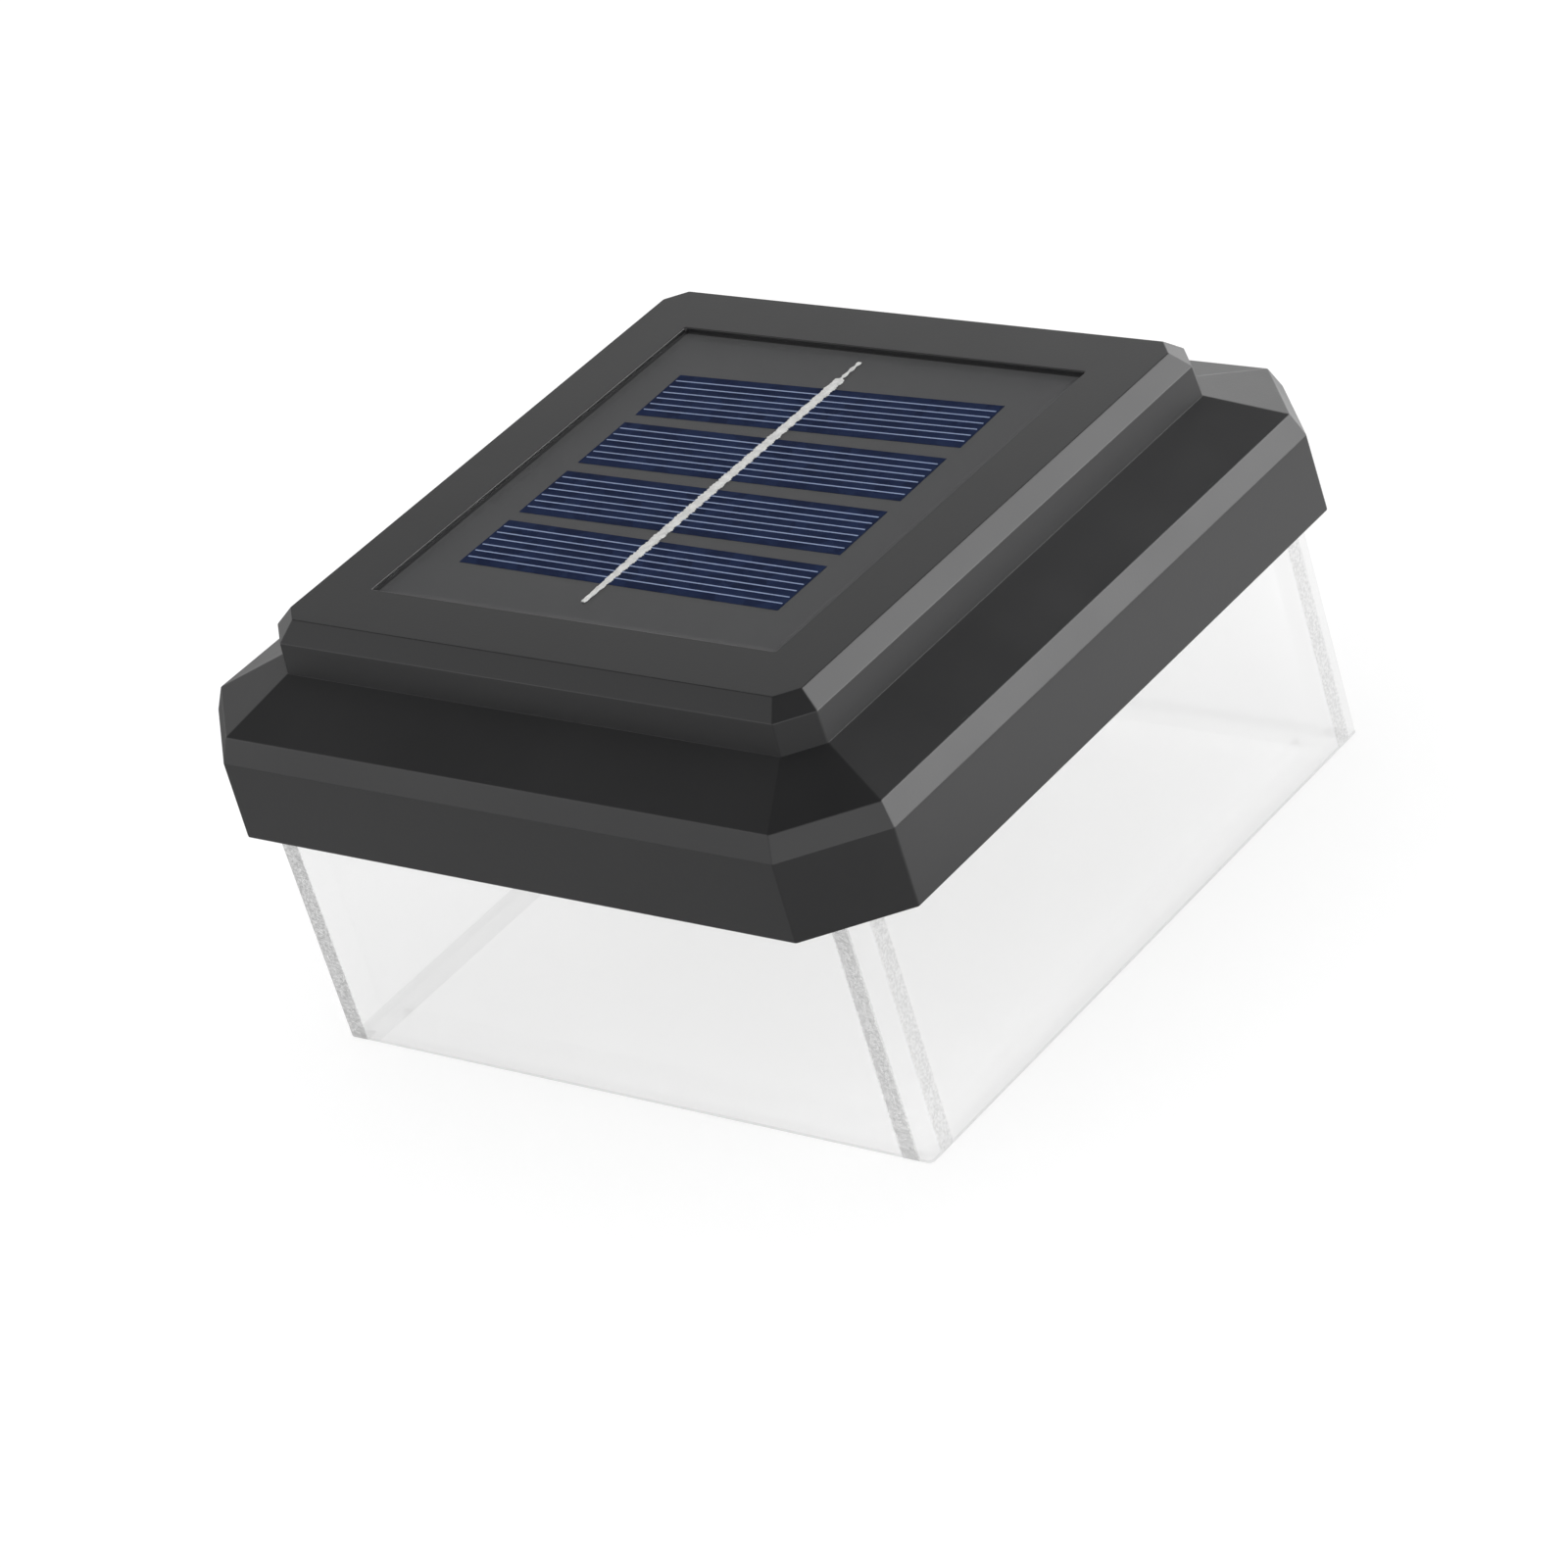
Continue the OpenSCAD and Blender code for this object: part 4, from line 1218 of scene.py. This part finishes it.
@dataclass
class PowerCell(Assembly):
    """The rechargeable cell in its sleeve, between a spring and two contacts."""

    radius: float = 7.25
    length: float = 50.5
    nub_radius: float = 2.75
    nub_length: float = 1.2
    nub_x: float = 29.0
    axis_y: float = 17.0
    axis_z: float = 53.0
    spring_from: float = -28.5
    spring_rise: float = 6.5
    spring_wide: float = 4.6
    spring_narrow: float = 3.0
    spring_turns: float = 4.0
    wire_radius: float = 0.4

    def build(self) -> None:
        """Make and dress the cell, its spring and the contacts."""
        r, end, nub = self.radius, self.length, self.nub_length
        place = Matrix.Translation((self.nub_x * MM, self.axis_y * MM, self.axis_z * MM))
        place = place @ Matrix.Rotation(-math.pi / 2, 4, "Y")
        sleeve = turned("cell_sleeve", [
            (r - 1.6, nub + 0.02), (r - 0.5, nub + 0.02), (r - 0.15, nub + 0.15), (r, nub + 0.5),
            (r, end - 0.5), (r - 0.15, end - 0.15), (r - 0.5, end - 0.02), (r - 1.4, end - 0.02),
            (r - 1.4, end - 0.12), (r - 0.6, end - 0.14), (r - 0.12, end - 0.5),
            (r - 0.12, nub + 0.5), (r - 0.6, nub + 0.14), (r - 1.6, nub + 0.12),
        ], place, ring=True, steps=64)
        self.hang(sleeve, "battery_sleeve", "battery")
        can = turned("cell_can", [
            (self.nub_radius - 0.6, 0.0), (self.nub_radius - 0.15, 0.1), (self.nub_radius, 0.35),
            (self.nub_radius, nub - 0.1), (self.nub_radius + 0.4, nub + 0.16), (r - 0.7, nub + 0.2),
            (r - 0.16, nub + 0.6), (r - 0.16, end - 0.6), (r - 0.7, end - 0.2), (r - 1.6, end - 0.2),
            (r - 1.7, end), (0.4, end),
        ], place)
        self.hang(can, "zinc_steel")
        spring = bake_nodes("cell_spring", wound_wire("cell_spring", self.finishes["zinc_steel"]), {
            "Turns": self.spring_turns, "Start Radius": self.spring_wide * MM,
            "End Radius": self.spring_narrow * MM, "Rise": self.spring_rise * MM,
            "Wire Radius": self.wire_radius * MM,
        }, [(0.0, 0.0, 0.0)])
        lay = Matrix(((0, 0, 1, 0), (1, 0, 0, 0), (0, 1, 0, 0), (0, 0, 0, 1)))
        start = Matrix.Translation((self.spring_from * MM, self.axis_y * MM, self.axis_z * MM))
        spring.data.transform(start @ lay)
        self.hang(spring, "zinc_steel", "battery_spring", angle=60.0)
        self.soften("zinc_steel", 0.08, "contact_positive", "contact_negative")


@dataclass
class ControlBoard(Assembly):
    """The board with its chip, coil, capacitor, switch, lamps and solder joints."""

    centre_y: float = -6.2
    top: float = 51.8
    lamp_x: float = 10.0
    lamp_dy: float = 6.2
    lead_gap: float = 1.27
    dot_radius: float = 0.62
    coil_x: float = -9.6
    coil_y: float = -3.2
    coil_radius: float = 3.0
    waist_radius: float = 2.3
    coil_height: float = 4.6
    flange: float = 0.9
    wire_radius: float = 0.17
    wire_turns: float = 7.5

    def build(self) -> None:
        """Make and dress the board and what sits on it."""
        self.soften("board_laminate", 0.1, "control_board")
        self.soften("switch_metal", 0.15, "switch_body")
        self.soften("switch_knob", 0.15, "switch_slider", body=SWITCH_BODY)
        self.soften("chip_epoxy", 0.05, "driver_chip")
        self.soften("can_sleeve", 0.15, "storage_capacitor")
        self.soften("led_epoxy", 0.08, "leds")
        r, w, h, f = self.coil_radius, self.waist_radius, self.coil_height, self.flange
        bobbin = turned("choke_bobbin", [
            (r - 0.15, 0.0), (r, 0.15), (r, f - 0.1), (r - 0.1, f), (w, f), (w, h - f),
            (r - 0.1, h - f), (r, h - f + 0.1), (r, h - 0.15), (r - 0.15, h), (0.5, h), (0.45, h - 0.3),
        ], Matrix.Translation((self.coil_x * MM, self.coil_y * MM, self.top * MM)))
        self.hang(bobbin, "chip_epoxy", "choke_coil")
        tree = wound_wire("choke_winding", self.finishes["coil_winding"])
        layers = [
            bake_nodes(f"choke_winding_{layer}", tree, {
                "Turns": self.wire_turns, "Start Radius": reach * MM, "End Radius": reach * MM,
                "Rise": (h - 2 * f - 2 * self.wire_radius) * MM, "Wire Radius": self.wire_radius * MM,
            }, [(self.coil_x, self.coil_y, self.top + f + self.wire_radius)])
            for layer, reach in enumerate((w + self.wire_radius, w + 2.7 * self.wire_radius))
        ]
        self.hang(merge_pieces("choke_winding", layers), "coil_winding", angle=60.0)
        joints = [
            (sx * self.lamp_x + lead, self.centre_y + sy * self.lamp_dy, self.top)
            for sx in (-1, 1) for sy in (-1, 1) for lead in (-self.lead_gap, self.lead_gap)
        ]
        tree = solder_dots("solder_joints", self.finishes["tinned_copper"])
        dots = bake_nodes("solder_joints", tree, {
            "Radius": self.dot_radius * MM, "Flatness": (1.0, 1.0, 0.55),
        }, joints)
        self.hang(dots, "tinned_copper", angle=60.0)


@dataclass(frozen=True)
class ScrewKind:
    """Sizes of one kind of self-tapping screw, in millimetres."""

    node: str
    body: str
    shank: float
    length: float
    head: float
    head_height: float
    places: tuple[Point, ...]
    heads_up: bool = False


@dataclass
class Fasteners(Assembly):
    """All the screws, each with a crossed slot and a wound thread."""

    slot_share: float = 0.62
    slot_width: float = 0.8
    slot_depth_share: float = 0.55
    ridge_share: float = 0.1
    pitch_share: float = 0.38
    tip: float = 1.3
    neck: float = 1.2
    plain: float = 1.4
    kinds: tuple[ScrewKind, ...] = (
        ScrewKind("tray_screws", ROOT_BODY, 2.9, 12.0, 5.6, 2.0, tuple(
            (sx * 44.0, sy * 44.0, 49.4) for sx in (-1, 1) for sy in (-1, 1)
        )),
        ScrewKind("door_screws", DOOR_BODY, 2.0, 7.0, 4.2, 1.5, ((-34.3, 17.0, 42.0), (34.3, 17.0, 42.0))),
        ScrewKind(
            "board_screws", ROOT_BODY, 1.8, 5.0, 4.0, 1.3, ((-18.0, -6.2, 53.1), (18.0, -6.2, 53.1)), True,
        ),
    )

    def make(self, kind: ScrewKind) -> None:
        """Make one kind of screw at all its places.

        Args:
            kind: The screw's sizes and places.
        """
        ridge = kind.shank * self.ridge_share
        core = kind.shank / 2 - 1.5 * ridge
        head, tall = kind.head / 2, kind.head_height
        blank = turned(kind.node + "_blank", [
            (head * 0.4, 0.0), (head * 0.68, tall * 0.07), (head * 0.88, tall * 0.22),
            (head * 0.98, tall * 0.45),
            (head, tall * 0.6), (head, tall * 0.95), (head * 0.97, tall), (core, tall),
            (core, tall + kind.length - self.tip), (core * 0.2, tall + kind.length),
        ], Matrix.Identity(4))
        long, wide = kind.head * self.slot_share * MM, self.slot_width * MM
        deep = 2 * tall * self.slot_depth_share * MM
        rise = kind.length - self.tip - self.plain
        tree = screw_set(kind.node, blank, self.finishes["zinc_steel"])
        screws = bake_nodes(kind.node + "_threaded", tree, {
            "Slot Along": (long, wide, deep),
            "Slot Across": (wide, long, deep),
            "Thread Turns": rise / (kind.shank * self.pitch_share),
            "Thread Radius": (kind.shank / 2 - ridge) * MM,
            "Thread Rise": rise * MM,
            "Thread Start": (0.0, 0.0, (tall + self.neck) * MM),
            "Ridge Radius": ridge * MM,
            "Turn": (math.pi if kind.heads_up else 0.0, 0.0, 0.0),
        }, kind.places)
        bpy.data.objects.remove(blank)
        self.hang(screws, "zinc_steel", kind.node, body=kind.body, angle=34.0)

    def build(self) -> None:
        """Make every kind of screw."""
        for kind in self.kinds:
            self.make(kind)


@dataclass
class Wiring(Assembly):
    """The four leads, the grommet, and the panel's tape and pads."""

    grommet_edge: float = 0.2

    def build(self) -> None:
        """Make and dress the wiring."""
        self.soften("black_rubber", self.grommet_edge, "lead_grommet")
        for circuit in ("panel", "battery"):
            for colour in ("red", "black"):
                self.soften(f"wire_{colour}", 0.0, f"lead_{circuit}_{colour}")
        self.soften("tinned_copper", 0.03, "panel_pads")
        dress(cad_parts["panel_tape"], self.finishes["foam_tape"])


def all_finishes() -> Finishes:
    """Build every finish.

    Returns:
        Materials by the record's slot name, with a few extra ones.
    """
    plastic = MouldedPlastic
    finishes = [
        ("cap_plastic", plastic("dark_cap_plastic", (0.015, 0.015, 0.0157), 0.32, specular=0.36)),
        ("panel_backing", plastic("panel_backing_board", (0.059, 0.059, 0.06), 0.5, specular=0.2)),
        ("cell_silicon", SiliconCells()),
        ("cell_lines", plastic("printed_cell_lines", (0.28, 0.355, 0.55), 0.45, specular=0.2)),
        ("tinned_copper", SmallMetal("rough_tin", Metal.TIN)),
        ("front_film", FrontFilm()),
        ("foam_tape", plastic("foam", (0.03, 0.03, 0.03), 0.85, grain_depth=0.0002)),
        ("black_rubber", plastic("soft_rubber", (0.02, 0.02, 0.02), 0.7)),
        # The lens, with painted shade on its sole at the left foot.
        ("clear_lens", ClearMoulding(
            "clear_lens_plastic", bands=(0.0489, 0.0494, 0.0518, 0.0525),
            outer_from=0.0519, foot_line=0.0008, shaded_sole_from=0.0486,
        )),
        ("white_plastic", plastic("white_tray_plastic", (0.82, 0.82, 0.8), 0.42, 0.02)),
        ("zinc_steel", SmallMetal("zinc_plate", Metal.ZINC)),
        ("board_laminate", plastic("board_mask", (0.03, 0.16, 0.07), 0.25)),
        ("chip_epoxy", plastic("chip_compound", (0.02, 0.02, 0.022), 0.5)),
        ("coil_winding", plastic("copper_winding", (0.45, 0.18, 0.08), 0.3)),
        ("can_sleeve", plastic("can_sleeve_film", (0.06, 0.08, 0.22), 0.28)),
        ("led_epoxy", ClearMoulding("lamp_epoxy", (0.97, 0.95, 0.86), 0.05, 1.5, alpha=0.8)),
        ("switch_metal", SmallMetal("stamped_shell", Metal.STAMPED)),
        ("switch_knob", plastic("knob_nylon", (0.02, 0.02, 0.02), 0.45)),
        ("battery_sleeve", plastic("shrink_sleeve", (0.1, 0.35, 0.16), 0.25)),
        ("wire_red", plastic("red_insulation", (0.5, 0.03, 0.03), 0.45)),
        ("wire_black", plastic("black_insulation", (0.02, 0.02, 0.02), 0.45)),
    ]
    return {slot: finish.build() for slot, finish in finishes}


@dataclass(frozen=True)
class Studio:
    """Camera, floor and soft light."""

    place: Point = (0.52881674, -0.51513466, 0.4390893)
    right: Point = (0.76766477, 0.58547666, -0.2605914)
    down: Point = (0.13244213, -0.54279579, -0.82935626)
    forward: Point = (-0.62701665, 0.6021543, -0.49422698)
    focal_mm: float = 135.11
    sensor_mm: float = 36.0
    floor_half: float = 6.0
    floor_gap: float = 0.0002
    floor_lift: float = 0.66
    # Painted reflection: the floor's grey as glossy rays see it, its painted shade at the far left and its
    # painted glow strip.
    floor_mirrored: Colour = (0.68, 0.68, 0.68)
    floor_shine: float = 1.0
    floor_far_left_painted_shade: float = 0.2
    floor_pale: tuple[float, float] = (0.9, 0.93)
    floor_faint: tuple[float, float] = (0.39, 0.41)
    far_left_ends: tuple[float, float, float, float] = (-0.4, -0.3, -0.15, -0.1)
    bright_ends: tuple[float, float] = (0.075, 0.135)
    slant_left: float = -0.5
    slant_right: float = 0.6
    horizon: tuple[float, float, float, float] = (1.5, 0.2, 0.22, 0.74)
    patches: tuple[tuple[Point, float, float, float], ...] = (
        ((0.73, 0.62, 0.28), 0.62, 0.9, 5.5),
        ((-0.31, 0.95, -0.02), 0.9, 1.0, 0.9),
        ((-0.2, 0.17, 0.965), 0.9, 1.0, -0.14),
        ((-0.08, 0.6, 0.79), 0.9, 1.0, 0.12),
        ((0.67, -0.69, 0.26), 0.8, 1.0, 0.8),
        ((-0.62, -0.55, 0.56), 0.8, 1.0, 0.55),
    )
    dim_patch: tuple[Point, float, float, float] = ((-0.88, 0.32, 0.351), 0.825, 1.0, 0.66)

    def camera(self) -> None:
        """Set the camera at the measured viewing angle."""
        data = bpy.data.cameras.new("camera")
        data.lens = self.focal_mm
        data.sensor_width = self.sensor_mm
        data.clip_start = 0.01
        data.clip_end = 50.0
        camera = new_piece("camera", data)
        axes = Matrix((self.right, [-v for v in self.down], [-v for v in self.forward])).transposed()
        camera.matrix_world = Matrix.Translation(self.place) @ axes.to_4x4()
        bpy.context.scene.camera = camera

    def floor(self) -> None:
        """Lay a pale floor, evenly bright with a faint shadow to the eye and through glass. In reflections
        it is greyer, with painted shade at the far left and a painted glow in a strip to the right.
        """
        h = self.floor_half
        z = -self.floor_gap
        points = [(-h, -h, z), (h, -h, z), (h, h, z), (-h, h, z)]
        mesh = bpy.data.meshes.new("floor")
        mesh.from_pydata(points, [], [(0, 1, 2, 3)])
        piece = new_piece("floor", mesh)
        sheet = Sheet("pale_floor")
        rays = sheet.add("ShaderNodeLightPath").outputs
        mirrored = rays["Is Glossy Ray"]
        seen = sheet.reckon("MAXIMUM", rays["Is Camera Ray"], rays["Is Transmission Ray"])
        x, y = sheet.add("ShaderNodeSeparateXYZ", {0: sheet.place}).outputs[:2]
        leftward = sheet.reckon("MULTIPLY_ADD", y, self.slant_left, x)
        near_end = sheet.spread(leftward, 1.0, 0.0, *self.far_left_ends[2:])
        far_end = sheet.spread(leftward, 0.0, 1.0, *self.far_left_ends[:2])
        far_left = sheet.reckon("MULTIPLY", near_end, far_end)
        clouds = sheet.noise(3.0)
        pale, faint = (
            sheet.blend(clouds, (low,) * 3, (high,) * 3) for low, high in (self.floor_pale, self.floor_faint)
        )
        # Painted shade in reflections: glossy rays see a greyer floor, darkest at the far left.
        reflected_painted_shade = sheet.blend(far_left, self.floor_mirrored, (self.floor_far_left_painted_shade,) * 3)
        base = sheet.add("ShaderNodeMix", {0: mirrored, 6: pale, 7: reflected_painted_shade}, data_type="RGBA").outputs[2]
        base = sheet.add("ShaderNodeMix", {0: seen, 6: base, 7: faint}, data_type="RGBA").outputs[2]
        sheet.drive("Base Color", base)
        sheet.fix(Roughness=0.8, Specular_IOR_Level=0.1, Emission_Color=WHITE)
        # Painted glow in reflections: a strip to the right glows for glossy rays only.
        rightward = sheet.reckon("MULTIPLY_ADD", y, self.slant_right, x)
        bright = sheet.spread(rightward, 0.0, self.floor_shine, *self.bright_ends)
        shine = sheet.reckon("MULTIPLY", mirrored, bright)
        sheet.drive("Emission Strength", sheet.reckon("MULTIPLY_ADD", seen, self.floor_lift, shine))
        under = sheet.add("ShaderNodeNewGeometry").outputs["Backfacing"]
        open_air = sheet.add("ShaderNodeBsdfTransparent").outputs[0]
        from_below = sheet.add("ShaderNodeMixShader", {0: under, 1: sheet.shader.outputs[0], 2: open_air})
        sheet.finish_with(from_below.outputs[0])
        dress(piece, sheet.material)

    def world(self) -> None:
        """Light the scene from a pale horizon that darkens overhead and is brightest back right."""
        world = bpy.data.worlds.new("studio")
        bpy.context.scene.world = world
        world.use_nodes = True
        world.node_tree.nodes.clear()
        sky = Filler(world.node_tree)
        way = sky.add("ShaderNodeTexCoord").outputs["Generated"]

        def patch(aim: Point, start: float, end: float, level: float) -> Socket:
            """Soft round patch about one direction, from 0 to its level."""
            near = sky.add("ShaderNodeVectorMath", {0: way, 1: aim}, operation="DOT_PRODUCT")
            return sky.spread(near.outputs["Value"], 0.0, level, start, end, "SMOOTHSTEP")

        height = sky.add("ShaderNodeSeparateXYZ", {0: way}).outputs["Z"]
        total = sky.spread(height, *self.horizon, "SMOOTHSTEP")
        for values in self.patches:
            total = sky.reckon("ADD", total, patch(*values))
        open_share = sky.reckon("SUBTRACT", 1.0, patch(*self.dim_patch))
        total = sky.reckon("MULTIPLY", total, open_share)
        mirrored = sky.add("ShaderNodeLightPath").outputs["Is Glossy Ray"]
        strength = sky.add("ShaderNodeMix", {0: mirrored, 2: 1.0, 3: total}, data_type="FLOAT").outputs[0]
        shine = sky.add("ShaderNodeBackground", {"Color": WHITE, "Strength": strength})
        out = sky.add("ShaderNodeOutputWorld")
        sky.join(shine.outputs[0], out.inputs["Surface"])

    def build(self) -> None:
        """Set up the whole studio."""
        self.camera()
        self.floor()
        self.world()
        bpy.context.scene.view_settings.view_transform = "Standard"


def main() -> None:
    """Build the light and its studio in order."""
    logging.basicConfig(level=logging.INFO)
    Studio().build()
    finishes = all_finishes()
    assemblies = CapMoulding, SolarPanel, Lens, TrayParts, PowerCell, ControlBoard, Fasteners, Wiring
    for assembly in assemblies:
        assembly(finishes).build()


if __name__ == "__main__":
    main()
